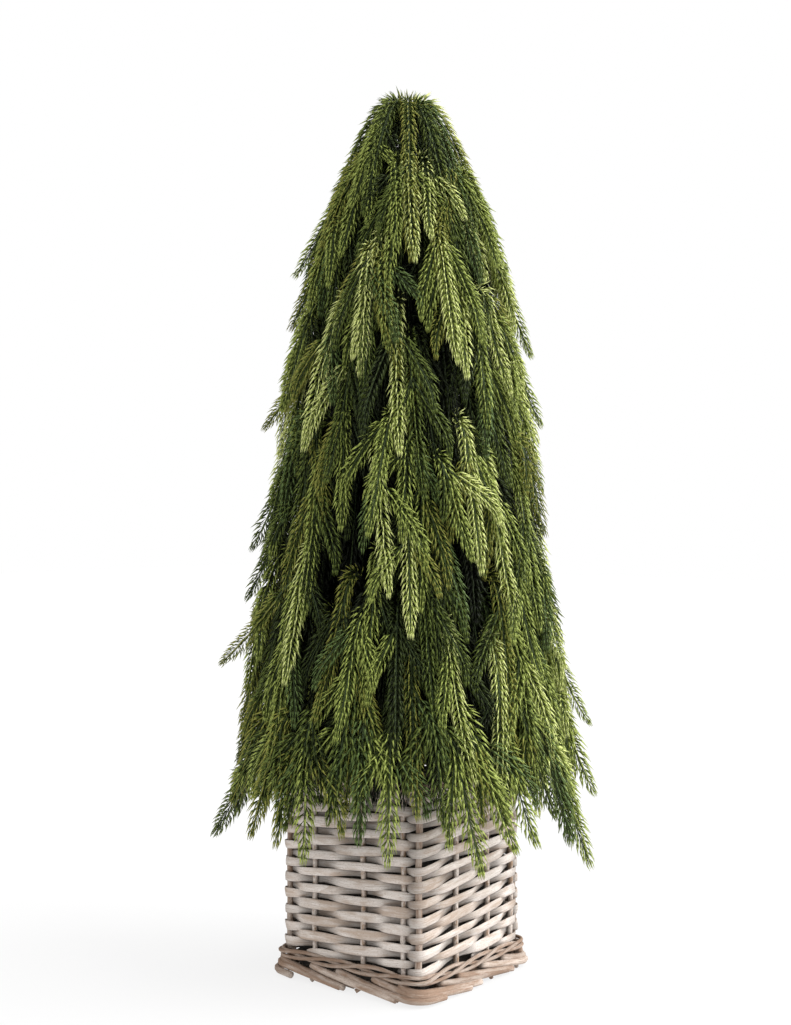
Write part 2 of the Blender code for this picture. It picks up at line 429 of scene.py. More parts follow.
@dataclass(frozen=True)
class BoardFinish:
    """Bare willow boards, on the piece's own coordinates."""

    name: str
    shade: Colour
    light: Colour
    roughness: float = 0.85
    fibre_scale: tuple[float, float, float] = (12.0, 420.0, 60.0)
    relief: float = 0.0003

    def material(self) -> bpy.types.Material:
        """Makes the material.

        Returns:
            The material.
        """
        material, sheet = new_sheet(self.name)
        fibres = sheet.noise(sheet.place().scaled(self.fibre_scale), 1.0, 3.0)
        colour = sheet.mix(fibres.over(0.35, gain=3.0), self.shade, self.light)
        normal = sheet.bump(fibres, self.relief)
        sheet.skin(Base_Color=colour, Roughness=self.roughness, Normal=normal)
        return material


STRIP = WillowFinish(
    "washed_willow_strip",
    wood=(0.47, 0.375, 0.305),
    wash=(0.725, 0.665, 0.615),
    streak=(0.30, 0.215, 0.16),
    washed=0.66,
)
ROD = WillowFinish(
    "washed_willow_rod",
    wood=(0.26, 0.175, 0.125),
    wash=(0.52, 0.44, 0.38),
    streak=(0.14, 0.09, 0.055),
    washed=0.44,
)
STAKE = WillowFinish(
    "mottled_willow_stake",
    wood=(0.30, 0.205, 0.14),
    wash=(0.66, 0.60, 0.55),
    streak=(0.22, 0.14, 0.09),
    washed=0.60,
    patch_scale=(330.0, 420.0, 420.0),
)
BOARDS = BoardFinish("willow_floor", (0.24, 0.17, 0.12), (0.42, 0.34, 0.27))
STEM_TAPE = BarkFinish("brown_stem_tape", (0.055, 0.036, 0.022), (0.115, 0.078, 0.045))
SHOOT_TAPE = BarkFinish("green_shoot_tape", (0.030, 0.050, 0.014), (0.060, 0.090, 0.026))
FOAM = FoamFinish("dark_planter_foam", (0.010, 0.008, 0.006), (0.050, 0.038, 0.028))
# Needle finishes. The deepest, deep and dark ones serve mostly as painted shade, and the fresh one
# partly as painted light.
NEEDLES = (
    NeedleFinish("needle_deepest", (0.004, 0.006, 0.0015)),
    NeedleFinish("needle_deep", (0.011, 0.017, 0.0035)),
    NeedleFinish("needle_dark", (0.036, 0.053, 0.009)),
    NeedleFinish("needle_green", (0.112, 0.148, 0.027)),
    NeedleFinish("needle_bright", (0.325, 0.385, 0.088)),
    NeedleFinish("needle_fresh", (0.620, 0.670, 0.245)),
    NeedleFinish("needle_olive", (0.245, 0.250, 0.048)),
    NeedleFinish("needle_cool", (0.100, 0.152, 0.042)),
)


class Tone(Enum):
    """How bright a shoot is painted, as the finishes of its needles' feet and ends: chance, painted
    shade and painted light.
    """

    DEEPEST = (0, 0)
    DEEP = (0, 1)
    DARK = (1, 2)
    GREEN = (2, 3)
    COOL = (2, 7)
    BRIGHT = (3, 4)
    FRESH = (4, 5)
    OLIVE = (3, 6)


# --- Lines, templates and batches ---


def unit(vectors: np.ndarray) -> np.ndarray:
    """The vectors at length 1."""
    return vectors / np.maximum(np.linalg.norm(vectors, axis=-1, keepdims=True), 1e-12)


def bezier(corners: Sequence[np.ndarray], steps: int = 28) -> np.ndarray:
    """Points on a cubic curve.

    Args:
        corners: Its four control points.
        steps: How many stretches it is cut into.

    Returns:
        The points.
    """
    t = np.linspace(0.0, 1.0, steps + 1)[:, None]
    a, b, c, d = (np.asarray(corner, float) for corner in corners)
    return (1 - t) ** 3 * a + 3 * t * (1 - t) ** 2 * b + 3 * t * t * (1 - t) * c + t**3 * d


def distances(points: np.ndarray) -> np.ndarray:
    """How far along a line each of its points is."""
    steps = np.linalg.norm(np.diff(points, axis=0), axis=1)
    return np.concatenate(((0.0,), np.cumsum(steps)))


def along_line(points: np.ndarray, places: np.ndarray) -> np.ndarray:
    """Points at the given distances along a line."""
    reached = distances(points)
    return np.stack([np.interp(places, reached, points[:, axis]) for axis in range(3)], axis=1)


@dataclass
class Line:
    """A line in space with a frame at each of its points."""

    points: np.ndarray
    ahead: np.ndarray
    across: np.ndarray
    outward: np.ndarray

    @classmethod
    def carried(cls, points: np.ndarray) -> "Line":
        """A line whose frame is carried along it without twist.

        Args:
            points: Its points.

        Returns:
            The line.
        """
        ahead = unit(np.gradient(points, axis=0))
        start = np.cross(ahead[0], UP if abs(ahead[0][2]) < 0.9 else np.array((1.0, 0.0, 0.0)))
        sides = [start / np.linalg.norm(start)]
        for direction in ahead[1:]:
            side = sides[-1] - direction * float(sides[-1] @ direction)
            sides.append(side / math.sqrt(float(side @ side)))
        across = np.array(sides)
        return cls(points, ahead, across, np.cross(ahead, across))

    @classmethod
    def facing(cls, points: np.ndarray, outward: np.ndarray) -> "Line":
        """A line whose frame faces outward.

        Args:
            points: Its points.
            outward: About where it faces at each point.

        Returns:
            The line.
        """
        ahead = unit(np.gradient(points, axis=0))
        across = unit(np.cross(ahead, outward))
        return cls(points, ahead, across, np.cross(across, ahead))


@dataclass
class Template:
    """A small shape that is made once by mesh operators and then laid many times."""

    points: np.ndarray
    corners: np.ndarray
    sizes: np.ndarray

    @classmethod
    def taken_from(cls, shape: bmesh.types.BMesh) -> "Template":
        """Reads and frees a shape.

        Args:
            shape: The shape.

        Returns:
            Its points, the corners of its faces, and how many each face has.
        """
        shape.verts.index_update()
        points = np.array([vert.co[:] for vert in shape.verts])
        corners = np.array([vert.index for face in shape.faces for vert in face.verts])
        sizes = np.array([len(face.verts) for face in shape.faces])
        shape.free()
        return cls(points, corners, sizes)

    @classmethod
    def rod(cls, sides: int, rings: int, boxiness: float = 1.0) -> "Template":
        """A closed rod of radius 1 from 0 to 1 along Z.

        Args:
            sides: Of its section.
            rings: How many stretches it is cut into.
            boxiness: Below 1 for a section that is flatter across X.

        Returns:
            The template.
        """
        shape = bmesh.new()
        bmesh.ops.create_cone(
            shape,
            cap_ends=True,
            segments=sides,
            radius1=1.0,
            radius2=1.0,
            depth=1.0,
            matrix=Matrix.Translation((0, 0, 0.5)),
        )
        for ring in range(1, rings):
            whole = shape.verts[:] + shape.edges[:] + shape.faces[:]
            level = (0, 0, ring / rings)
            bmesh.ops.bisect_plane(
                shape, geom=whole, plane_co=level, plane_no=(0, 0, 1), dist=1e-7
            )
        for vert in shape.verts:
            vert.co.x = math.copysign(abs(vert.co.x) ** boxiness, vert.co.x)
        return cls.taken_from(shape)


def settled_mesh(name: str, shape: bmesh.types.BMesh) -> bpy.types.Mesh:
    """Makes a mesh whose points and faces are in the same order each run.

    Bevelling leaves them in an order that changes from one run to the next.

    Args:
        name: Of the mesh.
        shape: Its shape, which is freed.

    Returns:
        The mesh.
    """
    verts = sorted(shape.verts, key=lambda vert: tuple(vert.co))
    places = {vert: place for place, vert in enumerate(verts)}
    faces = sorted([places[vert] for vert in face.verts] for face in shape.faces)
    mesh = bpy.data.meshes.new(name)
    mesh.from_pydata([tuple(vert.co) for vert in verts], [], faces)
    shape.free()
    return mesh


class Batch:
    """Many small shapes, gathered as arrays and joined into one mesh."""

    def __init__(self) -> None:
        """Starts empty."""
        self.points: list[np.ndarray] = []
        self.corners: list[np.ndarray] = []
        self.sizes: list[np.ndarray] = []
        self.finishes: list[np.ndarray] = []
        self.grain: list[np.ndarray] = []
        self.tone: list[np.ndarray] = []
        self.count = 0

    def add(
        self,
        template: Template,
        points: np.ndarray,
        finishes: np.ndarray | None = None,
        grain: np.ndarray | None = None,
        tone: np.ndarray | None = None,
    ) -> None:
        """Adds one or more copies of a template.

        Args:
            template: The shape.
            points: The places of its points, for each copy.
            finishes: The finish of each face, for each copy.
            grain: Where each point lies along and across its own strip.
            tone: How bright each point is.
        """
        points = points.reshape(-1, len(template.points), 3)
        copies = len(points)
        offsets = self.count + np.arange(copies)[:, None] * len(template.points)
        self.points.append(points.reshape(-1, 3))
        self.corners.append((template.corners[None, :] + offsets).ravel())
        self.sizes.append(np.tile(template.sizes, copies))
        blank = np.zeros(copies * len(template.sizes), np.int32)
        self.finishes.append(blank if finishes is None else finishes.ravel())
        if grain is not None:
            self.grain.append(grain)
            self.tone.append(tone)
        self.count += copies * len(template.points)

    def sweep(
        self,
        template: Template,
        line: Line,
        half_width: np.ndarray,
        half_depth: np.ndarray,
        tone: np.ndarray,
        shift: float,
    ) -> None:
        """Lays a rod template along a line.

        Args:
            template: The rod.
            line: Its line, with any number of points.
            half_width: Its half size across, at each point of the line.
            half_depth: Its half size outward, at each point of the line.
            tone: How bright it is at each point of the line.
            shift: Moves the grain, so that no two strips look the same.
        """
        reached = distances(line.points)
        share = reached / reached[-1]
        z = template.points[:, 2]

        def at(values: np.ndarray) -> np.ndarray:
            """Finds the values of the line at each point of the template.

            Args:
                values: A number or a vector for each point of the line.

            Returns:
                One for each point of the template.
            """
            if values.ndim == 1:
                return np.interp(z, share, values)
            return np.stack([np.interp(z, share, values[:, axis]) for axis in range(3)], axis=1)

        x = template.points[:, 0] * at(half_width)
        y = template.points[:, 1] * at(half_depth)
        placed = at(line.points) + x[:, None] * at(line.across) + y[:, None] * at(line.outward)
        grain = np.stack([z * reached[-1] + shift, x + shift, y], axis=1)
        self.add(template, placed, grain=grain, tone=at(tone))

    def mesh(self, name: str) -> bpy.types.Mesh:
        """Joins everything.

        Args:
            name: Of the mesh.

        Returns:
            The mesh.
        """
        points = np.concatenate(self.points).astype(np.float32)
        corners = np.concatenate(self.corners).astype(np.int32)
        sizes = np.concatenate(self.sizes)
        mesh = bpy.data.meshes.new(name)
        mesh.vertices.add(len(points))
        mesh.vertices.foreach_set("co", points.ravel())
        mesh.loops.add(len(corners))
        mesh.loops.foreach_set("vertex_index", corners)
        mesh.polygons.add(len(sizes))
        starts = np.concatenate(((0,), np.cumsum(sizes)[:-1])).astype(np.int32)
        mesh.polygons.foreach_set("loop_start", starts)
        mesh.polygons.foreach_set("material_index", np.concatenate(self.finishes).astype(np.int32))
        if self.grain:
            grain = mesh.attributes.new("grain", "FLOAT_VECTOR", "POINT")
            grain.data.foreach_set("vector", np.concatenate(self.grain).astype(np.float32).ravel())
            tone = mesh.attributes.new("tone", "FLOAT", "POINT")
            tone.data.foreach_set("value", np.concatenate(self.tone).astype(np.float32))
        mesh.update(calc_edges=True)
        mesh.validate()
        mesh.shade_smooth()
        return mesh


def add_piece(
    name: str,
    mesh: bpy.types.Mesh,
    materials: Iterable[bpy.types.Material],
    stands_for: Iterable[str] = (),
) -> bpy.types.Object:
    """Makes a piece of a mesh that is in place, and has it ride on the one body.

    Args:
        name: Of the piece.
        mesh: Its mesh.
        materials: Its finishes.
        stands_for: The frame's nodes that it replaces.

    Returns:
        The piece.
    """
    for material in materials:
        mesh.materials.append(material)
    piece = bpy.data.objects.new(name, mesh)
    bpy.context.scene.collection.objects.link(piece)
    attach(piece, BODY)
    if stands_for:
        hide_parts(*stands_for)
    triangles = sum(len(face.vertices) - 2 for face in mesh.polygons)
    LOG.info("%s: %d triangles", name, triangles)
    return piece


def node_points(node: bpy.types.Object) -> np.ndarray:
    """The points of a node of the frame."""
    return np.array([vert.co[:] for vert in node.data.vertices])


def limb_ends(limb: bpy.types.Object) -> tuple[np.ndarray, np.ndarray]:
    """Finds the middles of a bough's two ends.

    Args:
        limb: Its node.

    Returns:
        Its end at the stem and its end inside its mass.
    """
    points = node_points(limb)
    reach = np.hypot(points[:, 0], points[:, 1])
    inner = points[reach < reach.min() + END_SLICE].mean(axis=0)
    outer = points[reach > reach.max() - END_SLICE].mean(axis=0)
    return inner, outer


def level_way(bearing: float) -> np.ndarray:
    """The level direction on a bearing."""
    return np.array((math.cos(bearing), math.sin(bearing), 0.0))


def outward_way(point: np.ndarray) -> np.ndarray:
    """The level direction from the stem to a point."""
    return unit(np.array((point[0], point[1], 0.0)))


# --- Crown ---


@dataclass(frozen=True)
class Outline:
    """The crown's outer surface: a power curve of the depth below its top, flared at the hem."""

    top: float = 0.633
    hang: float = 0.546
    reach: float = 0.1265
    fullness: float = 0.38
    flare: float = 0.0095
    flare_power: float = 10.0
    relief: float = 0.0045
    relief_scale: float = 2.8
    shoulder: float = -0.0062  # the outline is slimmer here, under the rounded top
    shoulder_height: float = 0.580
    shoulder_span: float = 0.032
    axis: tuple[float, float] = (0.0024, 0.0018)  # where its middle stands

    def radius(self, bearing: float, height: float) -> float:
        """Works out how far the surface is from the crown's middle.

        Args:
            bearing: An angle round the stem.
            height: A height.

        Returns:
            The radius there.
        """
        depth = max(0.0, self.top - height) / self.hang
        place = Vector((math.cos(bearing), math.sin(bearing), height / self.reach))
        bump = self.relief * noise.noise(place * self.relief_scale)
        from_shoulder = (height - self.shoulder_height) / self.shoulder_span
        bump += self.shoulder * math.exp(-(from_shoulder**2))
        return self.reach * depth**self.fullness + self.flare * depth**self.flare_power + bump

    def point(self, bearing: float, height: float, sunk: float) -> np.ndarray:
        """A point under the surface.

        Args:
            bearing: Its angle round the stem.
            height: Its height.
            sunk: How far it lies under the surface.

        Returns:
            The point.
        """
        radius = max(0.004, self.radius(bearing, height) - sunk)
        x = self.axis[0] + radius * math.cos(bearing)
        y = self.axis[1] + radius * math.sin(bearing)
        return np.array((x, y, height))


@dataclass
class Shoot:
    """One shoot: the line of its stem, its bare length, its tone, which carries painted shade and
    light as well as chance, and how coarse it is.
    """

    points: np.ndarray
    bare: float
    tone: Tone
    radius: float = 0.0008
    coarseness: float = 1.0


@dataclass
class NeedleDress:
    """How needles stand on a shoot: in whorls, bent ahead, and closed to a brush at its end."""

    length: float = 0.0112
    radius: float = 0.00059
    columns: int = 8
    pitch: float = 0.0040
    foot_angle: float = math.radians(46)
    end_angle: float = math.radians(22)
    brush: float = 0.022
    brush_close: float = math.radians(29)
    brush_shortening: float = 0.30
    brush_curve: float = 1.3  # how suddenly the brush closes
    last_gap: float = 0.15  # from the last whorl to the end of the stem, in pitches
    spread: float = 0.06  # of the needles' sizes
    turn_spread: float = 0.07
    tilt_spread: float = 0.09
    twist: float = 0.4  # of the columns from foot to end, at most
    chance: np.random.Generator = field(default_factory=lambda: np.random.default_rng(SEED))

    def __post_init__(self) -> None:
        """Makes the one needle that is laid everywhere: a bent spindle with three sides."""
        shape = bmesh.new()
        bmesh.ops.create_cone(
            shape,
            cap_ends=True,
            segments=3,
            radius1=self.radius / self.length,
            radius2=0.0,
            depth=0.5,
            matrix=Matrix.Translation((0, 0, 0.75)),
        )
        base = [face for face in shape.faces if all(vert.co.z < 0.6 for vert in face.verts)]
        foot = bmesh.ops.poke(shape, faces=base)["verts"]
        for vert in foot:
            vert.co = (0.0, 0.0, 0.0)
        bend = (self.foot_angle + self.end_angle) / 2
        for vert in shape.verts:
            side, thick, reach = vert.co
            lower, upper = min(reach, 0.5), max(reach - 0.5, 0.0)
            ahead = lower * math.cos(self.foot_angle) + upper * math.cos(self.end_angle)
            out = lower * math.sin(self.foot_angle) + upper * math.sin(self.end_angle)
            vert.co = (side, out + thick * math.cos(bend), ahead - thick * math.sin(bend))
        self.is_end = np.array([foot[0] not in face.verts for face in shape.faces])
        self.template = Template.taken_from(shape)

    def dress(self, shoots: Sequence[Shoot]) -> Batch:
        """Lays the needles of many shoots.

        Args:
            shoots: The shoots.

        Returns:
            Their needles.
        """
        rows = [self._whorls(shoot) for shoot in shoots]
        foot, ahead, out, side, size, tones = (np.concatenate(column) for column in zip(*rows))
        local = self.template.points[None, :, :] * size[:, None, None]
        points = (
            foot[:, None, :]
            + local[:, :, 0:1] * side[:, None, :]
            + local[:, :, 1:2] * out[:, None, :]
            + local[:, :, 2:3] * ahead[:, None, :]
        )
        # painted shade: the foot half of each needle takes its tone's foot finish, a step darker
        # than its end
        finishes = np.where(self.is_end[None, :], tones[:, 1:2], tones[:, 0:1])
        batch = Batch()
        batch.add(self.template, points, finishes)
        return batch

    def _whorls(self, shoot: Shoot) -> tuple[np.ndarray, ...]:
        """Places the needles of one shoot.

        Args:
            shoot: The shoot.

        Returns:
            For each needle its foot, its three directions, its size and its two finishes.
        """
        chance = self.chance
        length = distances(shoot.points)[-1]
        pitch = self.pitch * shoot.coarseness
        whorls = max(3, int((length - shoot.bare) / pitch))
        places = length - pitch * (np.arange(whorls)[::-1] + self.last_gap)
        line = Line.carried(along_line(shoot.points, places))
        to_end = np.clip((length - places) / self.brush, 0.0, 1.0)[:, None]
        grid = (whorls, self.columns)
        turn = np.arange(self.columns) * (FULL_TURN / self.columns) + chance.uniform(0, math.pi)
        turn = turn[None, :] + chance.normal(0, self.turn_spread, grid)
        turn += np.linspace(0, chance.uniform(-self.twist, self.twist), whorls)[:, None]
        radial = (
            np.cos(turn)[:, :, None] * line.across[:, None, :]
            + np.sin(turn)[:, :, None] * line.outward[:, None, :]
        )
        stem = np.broadcast_to(line.ahead[:, None, :], radial.shape)
        tilt = -self.brush_close * (1 - to_end) ** self.brush_curve
        tilt = tilt + chance.normal(0, self.tilt_spread, grid)
        cosine, sine = np.cos(tilt)[:, :, None], np.sin(tilt)[:, :, None]
        ahead, out = stem * cosine + radial * sine, radial * cosine - stem * sine
        size = self.length * shoot.coarseness * (1 - self.brush_shortening * (1 - to_end))
        size = size * (1 + chance.normal(0, self.spread, grid))
        foot = line.points[:, None, :] + radial * shoot.radius * 0.5
        count = whorls * self.columns
        tones = np.tile(np.array(shoot.tone.value), (count, 1))
        ways = (foot, ahead, out, np.cross(ahead, out))
        return (*(way.reshape(count, 3) for way in ways), size.ravel(), tones)


@dataclass
class Mass:
    """One mass of foliage: the sector and heights that its node holds, and where its bough ends."""

    name: str
    bearing: float
    half_width: float
    top: float
    tip: float
    fork: np.ndarray

    @classmethod
    def read(cls, node: str, bough: str | None, nodes: Nodes) -> "Mass":
        """Reads a mass from the frame.

        Args:
            node: The node of the mass.
            bough: The node of its bough, or None for the crown's tip.
            nodes: The frame's nodes.

        Returns:
            The mass.
        """
        points = node_points(nodes[node])
        middle = points.mean(axis=0)
        bearing = math.atan2(middle[1], middle[0])
        angles = np.arctan2(points[:, 1], points[:, 0]) - bearing
        angles = (angles + math.pi) % FULL_TURN - math.pi
        fork = UP * STEM_END if bough is None else limb_ends(nodes[bough])[1]
        top, tip = points[:, 2].max(), points[:, 2].min()
        return cls(node, bearing, float(np.abs(angles).max()), float(top), float(tip), fork)


@dataclass(frozen=True)
class Tier:
    """How the sprays of one tier are set out."""

    name: str
    masses: int
    sprays: int  # in a mass's outer layer, which has two more than the inner one
    lowest: float  # of the tips of its sprays, above the tip of its node
    highest: float  # of those tips
    hang: float  # of a spray, from its crest to its tip
    closers: int = 0  # fillers at each depth that hang lowest


TIERS = (
    Tier("upper", 4, 5, 0.000, 0.500, 0.110),
    Tier("middle", 5, 5, -0.004, 0.420, 0.120),
    Tier("lower", 5, 5, -0.006, 0.322, 0.126),
    Tier("skirt", 6, 7, 0.026, 0.214, 0.124, 3),
)


@dataclass(frozen=True)
class Leader:
    """One spray that stands out of the outline."""

    turn: float  # of its tip round from the show side, in degrees
    tip: float
    proud: float  # how far it stands out
    crest_turn: float  # of its crest round from its tip, in degrees
    hang: float
    # its tone, set for each spray to how bright it looks: partly painted light, bright even where
    # it hangs in shade under the hem
    tone: Tone


LEADERS = (
    Leader(-22, 0.418, 0.002, -3, 0.092, Tone.FRESH),
    Leader(4, 0.495, 0.002, -6, 0.080, Tone.FRESH),
    Leader(-6, 0.505, 0.001, -7, 0.066, Tone.BRIGHT),
    Leader(-40, 0.537, 0.002, -4, 0.058, Tone.BRIGHT),
    Leader(-63, 0.514, 0.001, 2, 0.062, Tone.OLIVE),
    Leader(14, 0.512, 0.001, 2, 0.060, Tone.FRESH),
    Leader(25, 0.429, 0.002, -4, 0.095, Tone.BRIGHT),
    Leader(-10, 0.435, 0.000, -4, 0.066, Tone.BRIGHT),
    Leader(-7, 0.271, 0.003, -8, 0.104, Tone.FRESH),
    Leader(-2, 0.307, 0.000, 2, 0.070, Tone.BRIGHT),
    Leader(24, 0.294, 0.002, -11, 0.070, Tone.BRIGHT),
    Leader(-23, 0.178, 0.004, 5, 0.085, Tone.BRIGHT),
    Leader(1, 0.245, 0.002, -1, 0.072, Tone.FRESH),
    Leader(32, 0.106, 0.003, -13, 0.092, Tone.BRIGHT),
    Leader(21, 0.094, 0.001, -6, 0.090, Tone.BRIGHT),
    Leader(11, 0.124, 0.001, -3, 0.080, Tone.GREEN),
    Leader(-6, 0.101, 0.000, 0, 0.085, Tone.BRIGHT),
    Leader(-15, 0.114, 0.001, -1, 0.080, Tone.COOL),
    Leader(-25, 0.125, 0.000, 4, 0.076, Tone.GREEN),
    Leader(-33, 0.099, 0.000, -4, 0.080, Tone.BRIGHT),
    Leader(-40, 0.118, 0.001, 5, 0.080, Tone.GREEN),
    Leader(-56, 0.108, 0.001, 8, 0.085, Tone.OLIVE),
    Leader(52, 0.122, 0.001, -8, 0.080, Tone.GREEN),
    Leader(61, 0.104, 0.000, -6, 0.080, Tone.COOL),
    Leader(-88, 0.2145, 0.021, 40, 0.070, Tone.OLIVE),
    Leader(-84, 0.146, 0.004, 24, 0.072, Tone.GREEN),
    Leader(-88, 0.0935, 0.006, 30, 0.085, Tone.GREEN),
    Leader(-78, 0.121, 0.000, 14, 0.066, Tone.OLIVE),
    Leader(-88, 0.384, 0.0135, 50, 0.070, Tone.OLIVE),
    Leader(-88, 0.298, 0.0105, 31, 0.085, Tone.GREEN),
    Leader(-87, 0.262, 0.0090, 22, 0.070, Tone.GREEN),
    Leader(-86, 0.456, 0.004, 30, 0.075, Tone.OLIVE),
    Leader(-88, 0.494, 0.008, 40, 0.075, Tone.BRIGHT),
    Leader(88, 0.173, 0.015, -12, 0.070, Tone.BRIGHT),
    Leader(88, 0.124, 0.010, -8, 0.075, Tone.BRIGHT),
    Leader(72, 0.081, 0.000, -11, 0.090, Tone.BRIGHT),
    Leader(81, 0.233, 0.001, -15, 0.070, Tone.GREEN),
    Leader(78, 0.309, 0.001, -12, 0.070, Tone.OLIVE),
    Leader(88, 0.387, 0.008, -28, 0.075, Tone.BRIGHT),
    Leader(88, 0.437, 0.008, -20, 0.075, Tone.BRIGHT),
    Leader(86, 0.498, 0.005, -15, 0.070, Tone.BRIGHT),
    Leader(86, 0.340, 0.001, -20, 0.070, Tone.BRIGHT),
    Leader(41, 0.107, 0.001, -5, 0.062, Tone.BRIGHT),
    Leader(-44, 0.106, 0.000, 1, 0.060, Tone.OLIVE),
    Leader(108, 0.104, 0.003, 6, 0.078, Tone.GREEN),
    Leader(127, 0.118, 0.001, -4, 0.070, Tone.BRIGHT),
    Leader(146, 0.098, 0.004, -9, 0.084, Tone.GREEN),
    Leader(163, 0.112, 0.002, 3, 0.070, Tone.OLIVE),
    Leader(181, 0.101, 0.003, 8, 0.080, Tone.BRIGHT),
    Leader(199, 0.116, 0.001, -5, 0.066, Tone.GREEN),
    Leader(218, 0.097, 0.004, -2, 0.082, Tone.BRIGHT),
    Leader(237, 0.110, 0.002, 7, 0.070, Tone.GREEN),
    Leader(254, 0.103, 0.003, -6, 0.076, Tone.GREEN),
)


@dataclass(frozen=True)
class SprayPlan:
    """Where one spray goes."""

    root: np.ndarray
    leave: np.ndarray  # its direction at its root, with its strength
    bearing: float  # of its tip
    tip: float  # the height of its tip
    hang: float  # the length that hangs
    sunk: float  # how deep it lies under the outline
    flare: float  # how much deeper it lies above, so that it hangs outward
    crest_turn: float = 0.0  # how far round from the tip its crest lies
    tone: Tone | None = None  # of the main shoot, or None for chance


@dataclass(frozen=True)
class SideShoots:
    """How side shoots leave the main shoot of a spray."""

    swing: tuple[float, float] = (0.017, 0.027)
    rise: tuple[float, float] = (0.014, 0.032)
    proudest: float = 0.003  # however proud the main shoot is
    sink: float = 0.008
    crest: float = 0.42  # the height of its bend above its tip, as a share of its span
    pull: float = 0.33
    along_stem: float = 0.6
    out_of_stem: float = 0.25
    bare: float = 0.004  # the length without needles at its foot
    thinness: float = 0.85
    least_girth: float = 0.025  # the radius of the crown on which they swing, at least


@dataclass(frozen=True)
class Filling:
    """One depth of inner shoots, painted dark as painted shade."""

    depth: float
    coarseness: float
    count: int


@dataclass(frozen=True)
class Filler:
    """How the inner shoots hang, which are painted near black as painted shade."""

    hang: float = 0.95  # of the hang of its tier
    foot: float = 0.150  # none hangs below this
    shallow: float = 0.04  # unless its depth is under this
    shallow_drop: float = 0.010
    clearance: float = 0.016  # of its tip above that of its mass
    darkest_from: float = 0.03  # this depth: painted shade, darker for deeper shoots
    mass_step: float = 0.29  # of the heights from one mass to the next
    depth_step: float = 11.0  # of the heights, for each metre of depth
    closer_rise: float = 0.05
    highest: float = 0.8
    lift: float = 1.1  # the height of its bend above its tip, by its hang
    lift_depth: float = 0.012


@dataclass(frozen=True)
class Leading:
    """How leading sprays are rooted."""

    rise: float = 0.95  # of the root above the tip, by the hang
    highest: float = 0.59
    depth: float = 0.026
    outward: float = 0.020
    up: float = 0.024
    flare: float = 0.004
    crest_swing: float = 0.6


@dataclass(frozen=True)
class Dome:
    """How sprays arch out of the end of the stem over the crown's tip."""

    sprays: tuple[int, int] = (16, 12)  # in each layer
    apex: float = 0.6230
    apex_spread: float = 0.004
    root: float = 0.586
    root_rise: float = 0.016
    tip: float = 0.482
    tip_rise: float = 0.064
    tip_spread: float = 0.005
    bearing_spread: float = 0.2  # in radians
    top: float = 0.604  # from which a spray's hang is measured
    leave: float = 0.011
    bare: float = 0.004
    cores: int = 6
    core_coarseness: float = 1.4
    core_points: tuple[tuple[float, float], ...] = (  # outward and up
        (0.0, 0.524),
        (0.0, 0.544),
        (0.010, 0.564),
        (0.016, 0.586),
    )
    tufts: int = 3
    tuft_reach: float = 0.004
    tuft_height: float = 0.022


